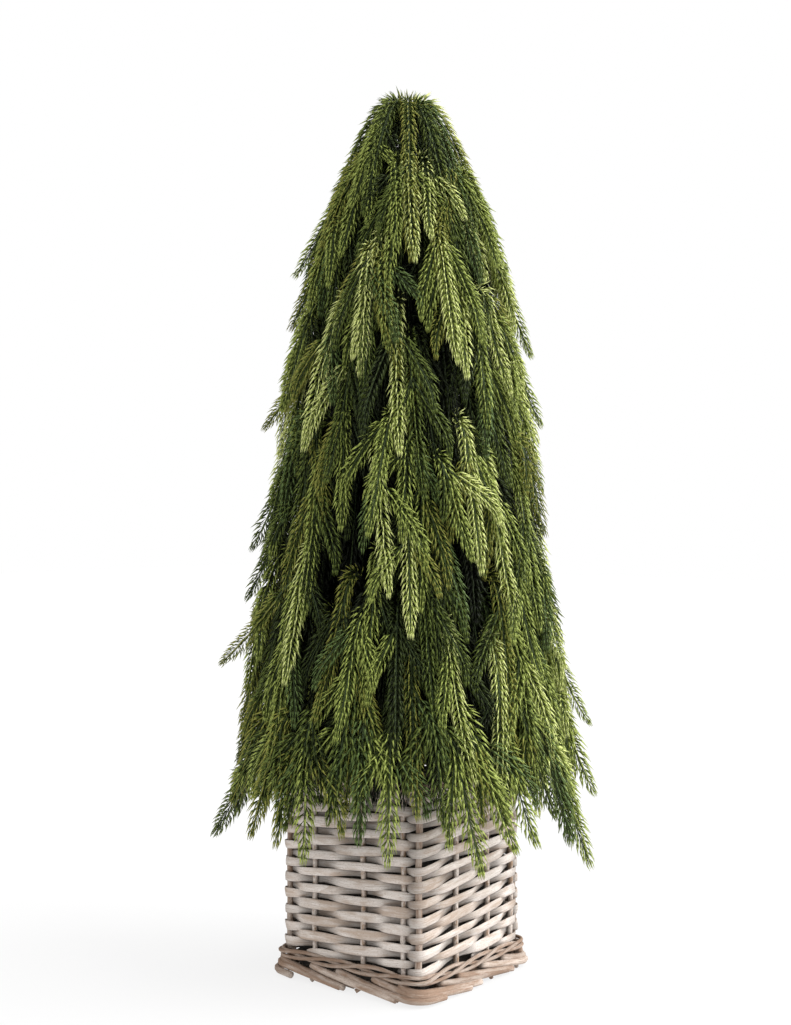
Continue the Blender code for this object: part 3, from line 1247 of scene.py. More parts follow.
@dataclass
class Crown:
    """The whole crown: it reads the masses, grows their sprays and dresses them with needles."""

    nodes: Nodes
    outline: Outline = field(default_factory=Outline)
    side: SideShoots = field(default_factory=SideShoots)
    filler: Filler = field(default_factory=Filler)
    leading: Leading = field(default_factory=Leading)
    dome: Dome = field(default_factory=Dome)
    show_bearing: float = math.radians(37.6 - 90.0)
    lit_side_brightening: float = 0.20  # how much brighter it is painted on its right, the lit side, than in front: painted light
    upper_lit_side_brightening: float = 0.36  # the same above a height
    # above this height the stronger painted light of the lit side is used
    upper_lit_from: float = 0.24
    shade: float = 64.0  # how much darker a shoot is painted for each metre of depth: painted shade, which also brightens shoots that stand proud
    brightness_steps: tuple[tuple[float, Tone | None], ...] = (
        (0.86, Tone.FRESH),
        (0.52, Tone.BRIGHT),
        (0.08, None),  # one of the middling tones
        (-0.40, Tone.DARK),
    )
    middling: tuple[Tone, ...] = (Tone.GREEN, Tone.GREEN, Tone.OLIVE, Tone.COOL)
    hem_height: float = 0.13  # below which the leaders hang over the basket
    hem_coarseness: float = 1.25
    limb_radius: float = 0.0015
    limb_pull: float = 0.25  # of its length, at both ends
    limb_steps: int = 12
    shoot_radius: float = 0.0008
    shoot_steps: int = 40
    least_bare: float = 0.006  # the length without needles at a main shoot's foot
    needled: float = 1.25  # the length with needles, by the hang
    most_free: float = 0.86  # of the hang
    brush_length: float = 0.008  # by which the needles pass the end of a stem
    reach: float = 0.005  # of the needles out of their stem
    layers: tuple[float, float] = (0.0, 0.0115)  # how deep each layer of sprays lies
    layer_spread: tuple[float, float] = (-0.005, 0.007)
    across_spread: float = 0.28  # of a spray's place in its mass
    rise_spread: float = 0.08
    hang_range: tuple[float, float] = (0.88, 1.12)
    free_length: tuple[float, float] = (0.074, 0.090)  # of a main shoot below its fork
    crest_share: float = 0.62  # the height of a spray's bend above its tip, by its hang
    flares: tuple[float, ...] = (0.0, 0.004, 0.010, 0.018)
    root_depth: float = 0.040  # of a spray's root under its own layer
    root_rise: float = 0.92  # of a spray's crest above its tip, by the hang
    root_over: float = 0.02  # of the crest above its mass, at most
    root_leave: float = 0.030  # outward, and as much up
    mass_step: float = 0.37  # of the heights from one mass to the next
    root_drop: float = 0.012  # of a spray's root under its crest
    gather: float = 0.22  # how far crests stand nearer to the middle of their mass than tips
    fillings: tuple[Filling, ...] = (
        Filling(0.020, 1.15, 3),
        Filling(0.031, 1.5, 5),
        Filling(0.048, 2.0, 5),
        Filling(0.068, 2.8, 4),
    )

    def __post_init__(self) -> None:
        """Reads the masses from the frame."""
        self.chance, self.tones = random.Random(SEED), random.Random(SEED + 1)
        self.axis = np.array((*self.outline.axis, 0.0))
        self.masses: list[tuple[Mass, Tier | None]] = []
        for tier in TIERS:
            for index in range(tier.masses):
                label = f"{tier.name}_{index + 1}"
                mass = Mass.read(f"foliage_{label}", f"bough_{label}", self.nodes)
                self.masses.append((mass, tier))
        self.masses.append((Mass.read("crown_tip", None, self.nodes), None))

    def build(self) -> None:
        """Grows every mass and adds its needles and its twigs as pieces."""
        needle_materials = [finish.material() for finish in NEEDLES]
        twig_material = SHOOT_TAPE.material()
        dress = NeedleDress()
        leaders = self._deal_leaders()
        total = 0
        for number, (mass, tier) in enumerate(self.masses):
            if tier is None:
                shoots, limbs = self._grow_dome(), []
            else:
                shoots, limbs = self._grow_mass(mass, tier, number)
            for leader in leaders.get(mass.name, ()):
                shoots.extend(self._grow_leader(leader))
            batch = dress.dress(shoots)
            total += batch.count // len(dress.template.points)
            name = f"needles_{mass.name}"
            add_piece(name, batch.mesh(name), needle_materials, (mass.name,))
            name = f"twigs_{mass.name}"
            twigs = self._twigs(limbs + shoots)
            add_piece(name, twigs.mesh(name), (twig_material,))
        LOG.info("needles in all: %d", total)

    def _twigs(self, shoots: Sequence[Shoot], steps: int = 17) -> Batch:
        """Sweeps the stem of every shoot.

        Args:
            shoots: The shoots.
            steps: How many points each stem is swept through.

        Returns:
            The stems.
        """
        twigs, rod = Batch(), Template.rod(5, 8)
        for number, shoot in enumerate(shoots):
            places = np.linspace(0, distances(shoot.points)[-1], steps)
            line = Line.carried(along_line(shoot.points, places))
            radii = np.linspace(shoot.radius, shoot.radius * 0.5, steps)
            tone = np.full(steps, 0.9 + 0.02 * (number % 5))
            twigs.sweep(rod, line, radii, radii, tone, number * 0.37)
        return twigs

    def _deal_leaders(self) -> dict[str, list[Leader]]:
        """Gives each leading spray to the mass whose sector and heights hold it.

        Returns:
            The leaders of each mass by name.
        """
        dealt: dict[str, list[Leader]] = {}
        for leader in LEADERS:
            bearing = self.show_bearing + math.radians(leader.turn)

            def misfit(pair: tuple[Mass, Tier | None]) -> float:
                """Works out how badly a mass fits the leader.

                Args:
                    pair: The mass and its tier.

                Returns:
                    The misfit, with 1 for a leader on the border of the mass.
                """
                mass, tier = pair
                if tier is None:
                    return 0.2 if leader.tip > 0.5 else 9.0
                off = abs((bearing - mass.bearing + math.pi) % FULL_TURN - math.pi)
                below = max(0.0, mass.tip - 0.02 - leader.tip)
                above = max(0.0, leader.tip - tier.highest)
                return off / mass.half_width + 40.0 * (below + above)

            best = min(self.masses, key=misfit)[0]
            dealt.setdefault(best.name, []).append(leader)
        return dealt

    def _tone(self, sunk: float, bearing: float, tip: float) -> Tone:
        """Chooses how bright a shoot is painted: by chance, with painted shade by its depth and
        painted light on its lit side.

        Args:
            sunk: How deep it lies under the outline, which counts only above the basket.
            bearing: Of its tip.
            tip: Height of its tip.

        Returns:
            Its tone.
        """
        # painted shade by depth and painted light on the lit side shift the draw of chance
        draw = self.tones.random() - (self.shade * sunk if tip > self.filler.foot else 0.0)
        lit_side_gain = self.lit_side_brightening if tip < self.upper_lit_from else self.upper_lit_side_brightening
        draw += lit_side_gain * max(0.0, math.sin(bearing - self.show_bearing))
        middling = self.tones.choice(self.middling)
        for least, tone in self.brightness_steps:
            if draw > least:
                return tone or middling
        return Tone.DEEP

    def _side_shoot(self, stem: Line, at: int, tip: tuple[float, float], sunk: float) -> Shoot:
        """Grows one side shoot that forks from a stem and hangs beside it.

        Args:
            stem: The stem.
            at: The index of the point where it forks.
            tip: The bearing and the height of its tip.
            sunk: How deep its tip lies under the outline.

        Returns:
            The shoot.
        """
        side = self.side
        start, ahead = stem.points[at], stem.ahead[at]
        end = self.outline.point(tip[0], tip[1] + self.brush_length, sunk + self.reach)
        span = float(np.linalg.norm(end - start))
        over = self.outline.point(tip[0], tip[1] + span * side.crest, sunk + self.reach)
        outward = outward_way(start)
        leave = unit(unit(over - start) + ahead * side.along_stem + outward * side.out_of_stem)
        points = bezier((start, start + leave * span * side.pull, over, end))
        tone = self._tone(max(sunk, 0.0), *tip)
        return Shoot(points, side.bare, tone, self.shoot_radius * side.thinness)

    def _spray(self, plan: SprayPlan) -> list[Shoot]:
        """Grows one spray: a main shoot that forks into three.

        Args:
            plan: Where it goes.

        Returns:
            The shoots, the main one first.
        """
        chance, side = self.chance, self.side
        bearing, tip, hang, sunk = plan.bearing, plan.tip, plan.hang, plan.sunk
        end = self.outline.point(bearing, tip + self.brush_length, sunk + self.reach)
        inward = sunk + self.reach + plan.flare
        crest_height = tip + hang * self.crest_share
        crest = self.outline.point(bearing + plan.crest_turn, crest_height, inward)
        points = bezier((plan.root, plan.root + plan.leave, crest, end), self.shoot_steps)
        places = distances(points)
        bare = max(self.least_bare, places[-1] - hang * self.needled)
        tone = plan.tone or self._tone(sunk, bearing, tip)
        shoots = [Shoot(points, bare, tone, self.shoot_radius)]
        stem = Line.carried(points)
        free = min(chance.uniform(*self.free_length), hang * self.most_free)
        at = int(np.searchsorted(places, places[-1] - free))
        girth = max(side.least_girth, math.hypot(end[0], end[1]))
        for sign in (-1.0, 1.0):
            swing = sign * chance.uniform(*side.swing) / girth
            side_tip = (bearing + swing, tip + chance.uniform(*side.rise))
            deeper = max(sunk, -side.proudest) + chance.uniform(0.0, side.sink)
            shoots.append(self._side_shoot(stem, at - chance.randint(0, 2), side_tip, deeper))
        return shoots

    def _limb(self, mass: Mass, target: np.ndarray) -> Shoot:
        """Grows a bare limb from the end of a bough to the root of a spray.

        Args:
            mass: The mass of the bough.
            target: The root.

        Returns:
            The limb, as a shoot without needles.
        """
        start = mass.fork
        outward = outward_way(start) * self.limb_pull
        span = float(np.linalg.norm(target - start))
        near_target = target * (1 - self.limb_pull) + start * self.limb_pull
        points = bezier((start, start + outward * span, near_target, target), self.limb_steps)
        return Shoot(points, 0.0, Tone.DEEP, self.limb_radius)

    def _grow_mass(self, mass: Mass, tier: Tier, number: int) -> tuple[list[Shoot], list[Shoot]]:
        """Grows the sprays of a hanging mass, layer under layer.

        Args:
            mass: The mass.
            tier: Its tier.
            number: Of the mass, for its share of the heights.

        Returns:
            Its needled shoots and its bare limbs.
        """
        chance, shoots, limbs = self.chance, [], []
        lowest, highest = mass.tip + tier.lowest, tier.highest
        for layer, depth in enumerate(self.layers):
            sprays = tier.sprays - 2 * layer
            for spray in range(sprays):
                off = chance.uniform(-self.across_spread, self.across_spread)
                across = (spray + 0.5 + 0.5 * layer + off) / sprays * 2 - 1
                across = (across + 1) % 2 - 1
                off = chance.uniform(-self.rise_spread, self.rise_spread)
                rise = (spray * GOLDEN + number * self.mass_step + layer * 0.5 + off) % 1.0
                bearing = mass.bearing + mass.half_width * across
                tip = lowest + (highest - lowest) * rise
                hang = tier.hang * chance.uniform(*self.hang_range)
                sunk = depth + chance.uniform(*self.layer_spread)
                turn = -mass.half_width * across * self.gather
                crest = min(tip + hang * self.root_rise, mass.top + self.root_over)
                crest -= self.root_drop
                root = self.outline.point(bearing + turn, crest, depth + self.root_depth)
                leave = outward_way(root) * self.root_leave + UP * self.root_leave
                limbs.append(self._limb(mass, root))
                flare = chance.choice(self.flares)
                plan = SprayPlan(root, leave, bearing, tip, hang, sunk, flare, turn)
                shoots.extend(self._spray(plan))
        for filling in self.fillings:
            shoots.extend(self._fill(mass, tier, number, filling))
        return shoots, limbs

    def _fill(self, mass: Mass, tier: Tier, number: int, filling: Filling) -> list[Shoot]:
        """Grows the inner shoots of one depth, which close the view to the stem and are painted
        dark as painted shade.

        Args:
            mass: The mass.
            tier: Its tier.
            number: Of the mass, for its share of the heights.
            filling: The depth.

        Returns:
            The shoots.
        """
        shoots, filler = [], self.filler
        depth, count, hang = filling.depth, filling.count, tier.hang * filler.hang
        lowest = filler.foot - (filler.shallow_drop if depth < filler.shallow else 0.0)
        foot = max(mass.tip + filler.clearance, lowest)
        # painted shade: near-black finishes, the darkest for the deepest shoots
        tone = Tone.DEEP if depth < filler.darkest_from else Tone.DEEPEST
        for place in range(count + tier.closers):
            across = (place + self.chance.random()) / count * 2 % 2 - 1
            share = (place * GOLDEN + number * filler.mass_step + depth * filler.depth_step) % 1.0
            rise = share if place < count else filler.closer_rise
            tip = foot + (tier.highest - foot) * rise * filler.highest
            bearing = mass.bearing + mass.half_width * across
            end = self.outline.point(bearing, tip, depth)
            over = self.outline.point(bearing, tip + hang * self.crest_share, depth)
            lift_height, lift_depth = tip + hang * filler.lift, depth + filler.lift_depth
            lift = self.outline.point(bearing, lift_height, lift_depth)
            points = bezier((mass.fork, lift, over, end))
            bare = max(0.0, distances(points)[-1] - hang)
            shoots.append(Shoot(points, bare, tone, self.shoot_radius, filling.coarseness))
        return shoots

    def _grow_leader(self, leader: Leader) -> list[Shoot]:
        """Grows one leading spray.

        Args:
            leader: The spray.

        Returns:
            Its shoots.
        """
        bearing = self.show_bearing + math.radians(leader.turn)
        swing = math.radians(leader.crest_turn)
        leading = self.leading
        crest = min(leader.tip + leader.hang * leading.rise, leading.highest)
        root = self.outline.point(bearing + swing, crest, leading.depth)
        plan = SprayPlan(
            root=root,
            leave=outward_way(root) * leading.outward + UP * leading.up,
            bearing=bearing,
            tip=leader.tip,
            hang=leader.hang,
            sunk=-leader.proud,
            flare=leader.proud + leading.flare,
            crest_turn=swing * leading.crest_swing,
            tone=leader.tone,
        )
        spray = self._spray(plan)
        if leader.tip < self.hem_height:
            for shoot in spray:
                shoot.coarseness = self.hem_coarseness
        return spray

    def _grow_dome(self) -> list[Shoot]:
        """Grows the sprays, the cores and the tufts of the crown's tip.

        Returns:
            Their shoots.
        """
        shoots = []
        for layer, depth in enumerate(self.layers):
            for number in range(self.dome.sprays[layer]):
                shoots.extend(self._dome_spray(layer, depth, number))
        return shoots + self._dome_cores() + self._dome_tufts()

    def _dome_spray(self, layer: int, depth: float, number: int) -> list[Shoot]:
        """Grows one spray that arches over to the crown's outline just under the apex.

        Args:
            layer: Its layer.
            depth: Of the layer under the outline.
            number: Of the spray in its layer.

        Returns:
            Its shoots.
        """
        chance, dome = self.chance, self.dome
        share = (number + 0.5) / dome.sprays[layer]
        off = chance.uniform(-dome.bearing_spread, dome.bearing_spread)
        bearing = (number + 0.5 * layer) * FULL_TURN * GOLDEN + off
        tip = dome.tip + dome.tip_rise * share + chance.uniform(-dome.tip_spread, dome.tip_spread)
        root = np.array((0.0, 0.0, dome.root + dome.root_rise * share)) + self.axis
        hang = dome.top - tip
        sunk = depth + chance.uniform(-0.001, 0.003)
        end = self.outline.point(bearing, tip + self.brush_length, sunk)
        crest_height = tip + hang * self.crest_share
        at_root, at_leave, at_crest, at_end = PEAK_WEIGHTS
        others = at_root * root[2] + at_crest * crest_height + at_end * end[2]
        apex = dome.apex - depth - chance.uniform(0.0, dome.apex_spread)
        leave = level_way(bearing) * dome.leave + UP * ((apex - others) / at_leave - root[2])
        spray = self._spray(SprayPlan(root, leave, bearing, tip, hang, sunk, 0.0))
        spray[0].bare = dome.bare
        return spray

    def _dome_cores(self) -> list[Shoot]:
        """Grows the upright shoots that close the dome round the end of the stem, painted dark as
        painted shade.

        Returns:
            The shoots.
        """
        dome, shoots = self.dome, []
        for number in range(dome.cores):
            outward = level_way(number * FULL_TURN / dome.cores)
            corners = [self.axis + outward * out + UP * up for out, up in dome.core_points]
            points = bezier(corners)
            shoots.append(Shoot(points, 0.0, Tone.DEEP, self.shoot_radius, dome.core_coarseness))
        return shoots

    def _dome_tufts(self) -> list[Shoot]:
        """Grows the short shoots that stand up at the very top.

        Returns:
            The shoots.
        """
        dome, shoots = self.dome, []
        root = UP * STEM_END + self.axis
        for number in range(dome.tufts):
            outward = level_way(number * FULL_TURN * GOLDEN)
            end = root + outward * (dome.tuft_reach * (1 + number)) + UP * dome.tuft_height
            points = bezier((root, root + UP * 0.006, end - UP * 0.005, end))
            shoots.append(Shoot(points, 0.002, Tone.GREEN, self.shoot_radius))
        return shoots


# --- Stem and boughs ---


@dataclass
class Limbs:
    """The stem and the boughs, wound with tape."""

    nodes: Nodes
    foot: float = 0.060
    top: float = 0.606
    foot_radius: float = 0.0070
    top_radius: float = 0.0022
    stem_steps: int = 273
    bough_steps: int = 24
    wander: float = 0.0012
    free_from: float = 0.130  # the stem is straight below this, in the foam
    wrap_pitch: float = 0.009
    wrap_height: float = 0.00035
    bough_wrap: float = 0.6  # of the stem's wrap height
    # Painted shade and light of the winding: each lap is darker at its start, under the lap before,
    # and lighter at its end.
    lap_shade: float = 0.75
    lap_light: float = 0.45  # how much brighter the end of a lap is than its start, as painted light and shade
    bough_radius: float = 0.0021
    bough_taper: float = 0.6
    bough_arch: float = 0.006
    bough_collar: float = 0.004

    def build(self) -> None:
        """Adds the stem as one piece and the boughs as another."""
        material = STEM_TAPE.material()
        self._stem(material)
        self._boughs(material)

    def _stem(self, material: bpy.types.Material) -> None:
        """Adds the stem.

        Args:
            material: Its finish.
        """
        stem, name = Batch(), "stem_wrapped"
        heights = np.linspace(self.foot, self.top, self.stem_steps)
        share = np.clip((heights - self.free_from) / (self.top - self.free_from), 0, 1)
        sway = self.wander * np.sin(math.pi * share)
        points = np.stack([sway, -sway * np.sin(FULL_TURN * share), heights], axis=1)
        radii = np.linspace(self.foot_radius, self.top_radius, len(heights))
        lap = (heights / self.wrap_pitch) % 1.0
        radii = radii + self.wrap_height * (lap - 0.5)
        tone = self.lap_shade + self.lap_light * lap
        stem.sweep(Template.rod(12, 136), Line.carried(points), radii, radii, tone, 0.0)
        add_piece(name, stem.mesh(name), (material,), ("trunk",))

    def _boughs(self, material: bpy.types.Material) -> None:
        """Adds the boughs.

        Args:
            material: Their finish.
        """
        boughs, rod, name = Batch(), Template.rod(8, 26), "boughs_wrapped"
        nodes = sorted(node for node in self.nodes if node.startswith("bough_"))
        for number, node in enumerate(nodes):
            points = self._bough_line(node)
            places = distances(points)
            lap = (places / self.wrap_pitch) % 1.0
            radii = self.bough_radius * (1 - (1 - self.bough_taper) * places / places[-1])
            radii = radii + self.wrap_height * self.bough_wrap * (lap - 0.5)
            tone = self.lap_shade + self.lap_light * lap
            boughs.sweep(rod, Line.carried(points), radii, radii, tone, number * 0.7)
        add_piece(name, boughs.mesh(name), (material,), nodes)

    def _bough_line(self, node: str) -> np.ndarray:
        """The middle line of a bough.

        Args:
            node: Its node.

        Returns:
            Points from the stem to its mass.
        """
        start, end = limb_ends(self.nodes[node])
        collar = start + outward_way(start) * self.bough_collar
        share = np.linspace(0, 1, self.bough_steps)[:, None]
        arch = self.bough_arch * np.sin(math.pi * share) * UP
        return np.concatenate((start[None, :], collar + (end - collar) * share + arch))


# --- Basket ---


@dataclass(frozen=True)
class Walls:
    """The line of the basket's walls: a square with round corners, walked from the left one."""

    half: float = 0.0592
    corner: float = 0.0038

    @property
    def side(self) -> float:
        """The length of one side, from the middle of a corner to the next."""
        return 2 * self.half - 2 * self.corner + math.pi * self.corner / 2

    @property
    def around(self) -> float:
        """The length of the whole line."""
        return 4 * self.side

    def at(
        self, places: np.ndarray, offset: np.ndarray, heights: np.ndarray
    ) -> tuple[np.ndarray, np.ndarray]:
        """Walks the line.

        Args:
            places: Distances along it.
            offset: How far out of it.
            heights: Heights above the floor.

        Returns:
            The points and their outward directions.
        """
        quarter = np.floor(places / self.side)
        rest = places - quarter * self.side
        arc = math.pi * self.corner / 4
        first = np.minimum(rest, arc) / self.corner
        last = np.maximum(rest - (self.side - arc), 0.0) / self.corner
        angle = math.radians(225) + first + last
        flat = self.half - self.corner
        x = np.clip(rest - arc, 0.0, 2 * flat) - flat
        reach = self.corner + offset
        local = np.stack([x + reach * np.cos(angle), -flat + reach * np.sin(angle)], axis=1)
        normal = np.stack([np.cos(angle), np.sin(angle)], axis=1)
        turn = quarter * (math.pi / 2)
        cosine, sine = np.cos(turn), np.sin(turn)

        def turned(flat_points: np.ndarray, z: np.ndarray) -> np.ndarray:
            """Turns points to their own side of the basket.

            Args:
                flat_points: The points as they lie on the front side.
                z: Their heights.

            Returns:
                The points.
            """
            u, v = flat_points[:, 0], flat_points[:, 1]
            return np.stack([u * cosine - v * sine, u * sine + v * cosine, z], axis=1)

        return turned(local, heights), turned(normal, np.zeros_like(heights))


@dataclass(frozen=True)
class Border:
    """One round of rods in a plaited border, which lap like shingles."""

    count: int
    length: float
    radius: float
    start: tuple[float, float]  # offset and height of a rod's foot
    end: tuple[float, float]  # offset and height of its end
    # how bright its rods are painted: under 1 is painted shade
    shade: float = 1.0


FOOT = (
    Border(18, 0.070, 0.0025, (0.0034, 0.0122), (0.0086, 0.0030)),
    # the inner round is painted darker, as painted shade in the gaps of the foot
    Border(10, 0.085, 0.0019, (-0.0015, 0.0095), (0.0010, 0.0030), 0.55),
)
RIM = (
    Border(18, 0.070, 0.0021, (-0.0012, 0.1432), (0.0020, 0.1475)),
    Border(14, 0.080, 0.0018, (0.0018, 0.1425), (-0.0010, 0.1465)),
)


@dataclass(frozen=True)
class Strip:
    """One strip of the weave, which is full in the middle and pared at its ends."""

    width: float = 0.0074
    thickness: float = 0.0013
    lengths: tuple[float, float] = (0.17, 0.30)
    steps: int = 140
    least: float = 0.02  # no strip starts nearer than this to the end of its weaver
    lap: float = 0.024  # by which the next strip starts before this one's end
    overrun: float = 0.012  # of the last strip
    pared: float = 0.012  # the length of each pared end
    tuck: float = 0.0011  # by which the ends lie deeper
    widths: tuple[float, float] = (0.80, 1.03)
    inside_width: float = 0.78  # where it passes inside a stake
    end_width: float = 0.35
    pinch: float = 0.5  # of its width inside a corner
    pinch_reach: float = 0.0042
    wave: float = 0.00045  # how far it runs up and down
    wave_rate: float = 70.0  # in radians to the metre, as the next two are
    width_rate: float = 43.0
    sway_rate: float = 38.0
    width_wave: float = 0.05
    drop: float = 0.0003
    roll: float = 9.0  # in degrees
    sway: float = 0.12  # in radians
    tones: tuple[float, float] = (0.84, 1.02)
    # painted shade where it passes inside a stake: how bright it is there
    inside_shade_tone: float = 0.46
    outside_gain: float = 1.5  # how soon the painted shade lifts as it comes out
    corner_shade: float = 0.36  # how much darker it is painted just before a corner: painted shade
    corner_shade_at: float = 0.0045
    corner_shade_reach: float = 0.0050


@dataclass(frozen=True)
class Waling:
    """The thin rods that twist round the foot of the weave."""

    strands: int = 3
    radius: float = 0.0014
    height: float = 0.0172
    rise: float = 0.0026
    offset: float = 0.0046
    swing: float = 0.0013
    twists: int = 5
    start: float = 2.37  # in sides of the basket
    overlap: tuple[float, float] = (-0.004, 0.006)
    wobble: float = 0.0012
    wobble_rate: float = 22.0
    swell: float = 0.10
    steps: int = 400


@dataclass(frozen=True)
class Upright:
    """How stakes and posts bend and swell."""

    lean: float = 0.0006  # to either side
    bend: float = 0.0005
    bend_rate: float = 90.0  # in radians to the metre
    swell: float = 0.06
    swell_rate: float = 140.0
    tones: tuple[float, float] = (0.85, 1.05)
    steps: int = 24


@dataclass(frozen=True)
class Plait:
    """How the rods of a border vary and bend."""

    shift: float = 0.22  # to either side, by the gap between two rods
    lengths: tuple[float, float] = (0.85, 1.2)
    out_curve: float = 0.8
    rise_curve: float = 0.75
    sway: float = 0.0004
    sway_rate: float = 60.0  # in radians to the metre
    wave: float = 0.0005
    wave_rate: float = 47.0
    radii: tuple[float, float] = (0.85, 1.1)
    taper: float = 0.12
    tones: tuple[float, float] = (0.82, 1.08)
    steps: int = 40


@dataclass(frozen=True)
class Stub:
    """The cut end of a stake that shows under the foot."""

    radius: float = 0.0016
    start: float = 0.004
    slant: float = 0.010
    offset: float = -0.002
    reach: float = 0.0085
    height: float = 0.0075
    drop: float = 0.0055
    tones: tuple[float, float] = (0.6, 0.9)
    steps: int = 8


@dataclass
class Basket:
    """The square basket: stakes, corner posts, climbing weave, waling, and plaited borders."""

    walls: Walls = field(default_factory=Walls)
    strip: Strip = field(default_factory=Strip)
    waling: Waling = field(default_factory=Waling)
    upright: Upright = field(default_factory=Upright)
    plait: Plait = field(default_factory=Plait)
    stub: Stub = field(default_factory=Stub)
    front_stakes: tuple[float, ...] = (0.227, 0.60, 0.895)
    side_stakes: tuple[float, ...] = (0.355, 0.68, 0.935)
    stake_radius: float = 0.00185
    stake_heights: tuple[float, float] = (0.013, 0.146)
    post_radius: float = 0.0023
    post_offset: float = -0.0014
    post_heights: tuple[float, float] = (0.0185, 0.1405)
    weave_foot: float = 0.0195
    weave_top: float = 0.1435
    weave_start: float = 0.02  # along the walls
    weavers: int = 6
    pitch: float = 0.00574
    outer_pass: float = 0.0023
    corner_passes: tuple[float, float] = (0.0019, -0.0034)
    dive: float = 1.6  # how suddenly a weaver changes sides
    bias: float = 0.16  # how much longer it stays outside than inside
    chance: random.Random = field(default_factory=lambda: random.Random(SEED))

    def build(self, nodes: Nodes) -> None:
        """Adds every piece of the basket.

        Args:
            nodes: The frame's nodes.
        """
        strip, rod, stake = STRIP.material(), ROD.material(), STAKE.material()
        self._add("weave", self._weave(), strip, "wall")
        self._add("stakes", self._stakes(), stake)
        # the corner posts take the darker rod finish: painted shade where they show between the
        # strips
        self._add("corner_posts", self._posts(), rod, "post")
        self._add("waling", self._waling(), rod)
        self._add("plaited_foot", self._foot(), rod, "foot")
        self._add("plaited_rim", self._rim(), rod, "rim")
        floor = nodes["basket_floor"]
        floor.data.materials.clear()
        floor.data.materials.append(BOARDS.material())

    def _add(
        self, name: str, batch: Batch, material: bpy.types.Material, part: str = ""
    ) -> None:
        """Adds one piece.

        Args:
            name: Of the piece.
            batch: Its strips or rods.
            material: Its finish.
            part: The part of the basket whose four nodes it replaces.
        """
        sides = ("front", "right", "back", "left") if part else ()
        nodes = [f"basket_{part}_{side}" for side in sides]
        add_piece(name, batch.mesh(name), (material,), nodes)

    def _stake_places(self) -> list[float]:
        """Where the stakes stand along the walls."""
        rows = enumerate((self.front_stakes, self.side_stakes) * 2)
        return [(number + share) * self.walls.side for number, row in rows for share in row]

    def _weaver(
        self, places: np.ndarray, even: bool, bias: float
    ) -> tuple[np.ndarray, np.ndarray]:
        """How a weaver runs, outside and inside of stakes and posts by turns.

        Args:
            places: Distances along the wall line.
            even: Which of the two kinds of weaver it is.
            bias: How early it comes out and how late it goes in again.

        Returns:
            How far out of the wall line it runs, and how much it is outside, from 0 to 1.
        """
        marks = [(number * self.walls.side, self.corner_passes) for number in range(5)]
        passes = (self.outer_pass, -self.outer_pass)
        marks = sorted(marks + [(place, passes) for place in self._stake_places()])
        knots = np.array([place for place, _ in marks])
        outside = (np.arange(len(marks)) % 2 == 1) == even
        level = np.array([pair[0] if out else pair[1] for (_, pair), out in zip(marks, outside)])
        wrapped = places % self.walls.around
        index = np.clip(np.searchsorted(knots, wrapped, side="right") - 1, 0, len(knots) - 2)
        share = (wrapped - knots[index]) / (knots[index + 1] - knots[index])
        middle = 0.5 + np.where(outside[index], bias, -bias)
        share = np.clip((share - middle) * self.dive + 0.5, 0, 1)
        smooth = share * share * (3 - 2 * share)
        out = np.where(outside[index], 1 - smooth, smooth)
        return level[index] + (level[index + 1] - level[index]) * smooth, out

    def _weave(self) -> Batch:
        """Weaves the walls: weavers that climb from foot to rim in overlapping strips.

        Returns:
            The strips.
        """
        batch, template = Batch(), Template.rod(8, 70, 0.6)
        climb = self.pitch * self.weavers / self.walls.around
        run = (self.weave_top - self.weave_foot) / climb
        for weaver in range(self.weavers):
            origin = weaver * self.walls.around / self.weavers + self.weave_start
            at = 0.0
            while at < run - self.strip.least:
                length = self.chance.uniform(*self.strip.lengths)
                length = min(length, run - at + self.strip.overrun)
                places = np.linspace(at, at + length, self.strip.steps)
                heights = self.weave_foot + places * climb
                self._lay_strip(batch, template, places, origin, heights, weaver % 2 == 0)
                at += length - self.strip.lap
        return batch

    def _lay_strip(
        self,
        batch: Batch,
        template: Template,
        places: np.ndarray,
        origin: float,
        heights: np.ndarray,
        even: bool,
    ) -> None:
        """Lays one strip.

        Args:
            batch: What it is added to.
            template: A flat rod.
            places: Distances along its weaver.
            origin: Where the weaver starts along the wall line.
            heights: Its heights.
            even: Which of the two kinds of weaver it belongs to.
        """
        chance, strip, side = self.chance, self.strip, self.walls.side
        wave = chance.uniform(*PHASES)
        heights = heights + strip.wave * np.sin(places * strip.wave_rate + wave)
        heights = heights + chance.uniform(-strip.drop, strip.drop)
        offset, _ = self._weaver(origin + places, even, self.bias)
        _, share = self._weaver(origin + places, even, 0.0)
        to_end = np.minimum(places - places[0], places[-1] - places)
        ends = np.clip(to_end / strip.pared, 0.0, 1.0)
        offset = offset - strip.tuck * (1 - ends)
        past = (origin + places + side / 2) % side - side / 2
        pinch = strip.pinch * np.exp(-((past / strip.pinch_reach) ** 2)) * (offset < 0)
        width = strip.width * chance.uniform(*strip.widths)
        width = width * (strip.inside_width + (1 - strip.inside_width) * share) * (1 - pinch)
        width = width * (strip.end_width + (1 - strip.end_width) * ends**0.5)
        width = width * (1 + strip.width_wave * np.sin(places * strip.width_rate + wave * 2))
        points, outward = self.walls.at(origin + places, offset, heights)
        roll = math.radians(chance.uniform(-strip.roll, strip.roll))
        roll = roll + strip.sway * np.sin(places * strip.sway_rate + wave)
        facing = outward * np.cos(roll)[:, None] + UP * np.sin(roll)[:, None]
        # painted shade: darker where the strip passes inside a stake and just before each corner
        outside = np.clip(share * strip.outside_gain, 0, 1)
        tone = chance.uniform(*strip.tones)
        tone = tone * (strip.inside_shade_tone + (1 - strip.inside_shade_tone) * outside)
        from_shade = (past + strip.corner_shade_at) / strip.corner_shade_reach
        tone = tone * (1 - strip.corner_shade * np.exp(-(from_shade**2)))
        thick = np.full(len(places), strip.thickness / 2)
        line = Line.facing(points, facing)
        batch.sweep(template, line, width / 2, thick, tone, chance.uniform(*SHIFTS))

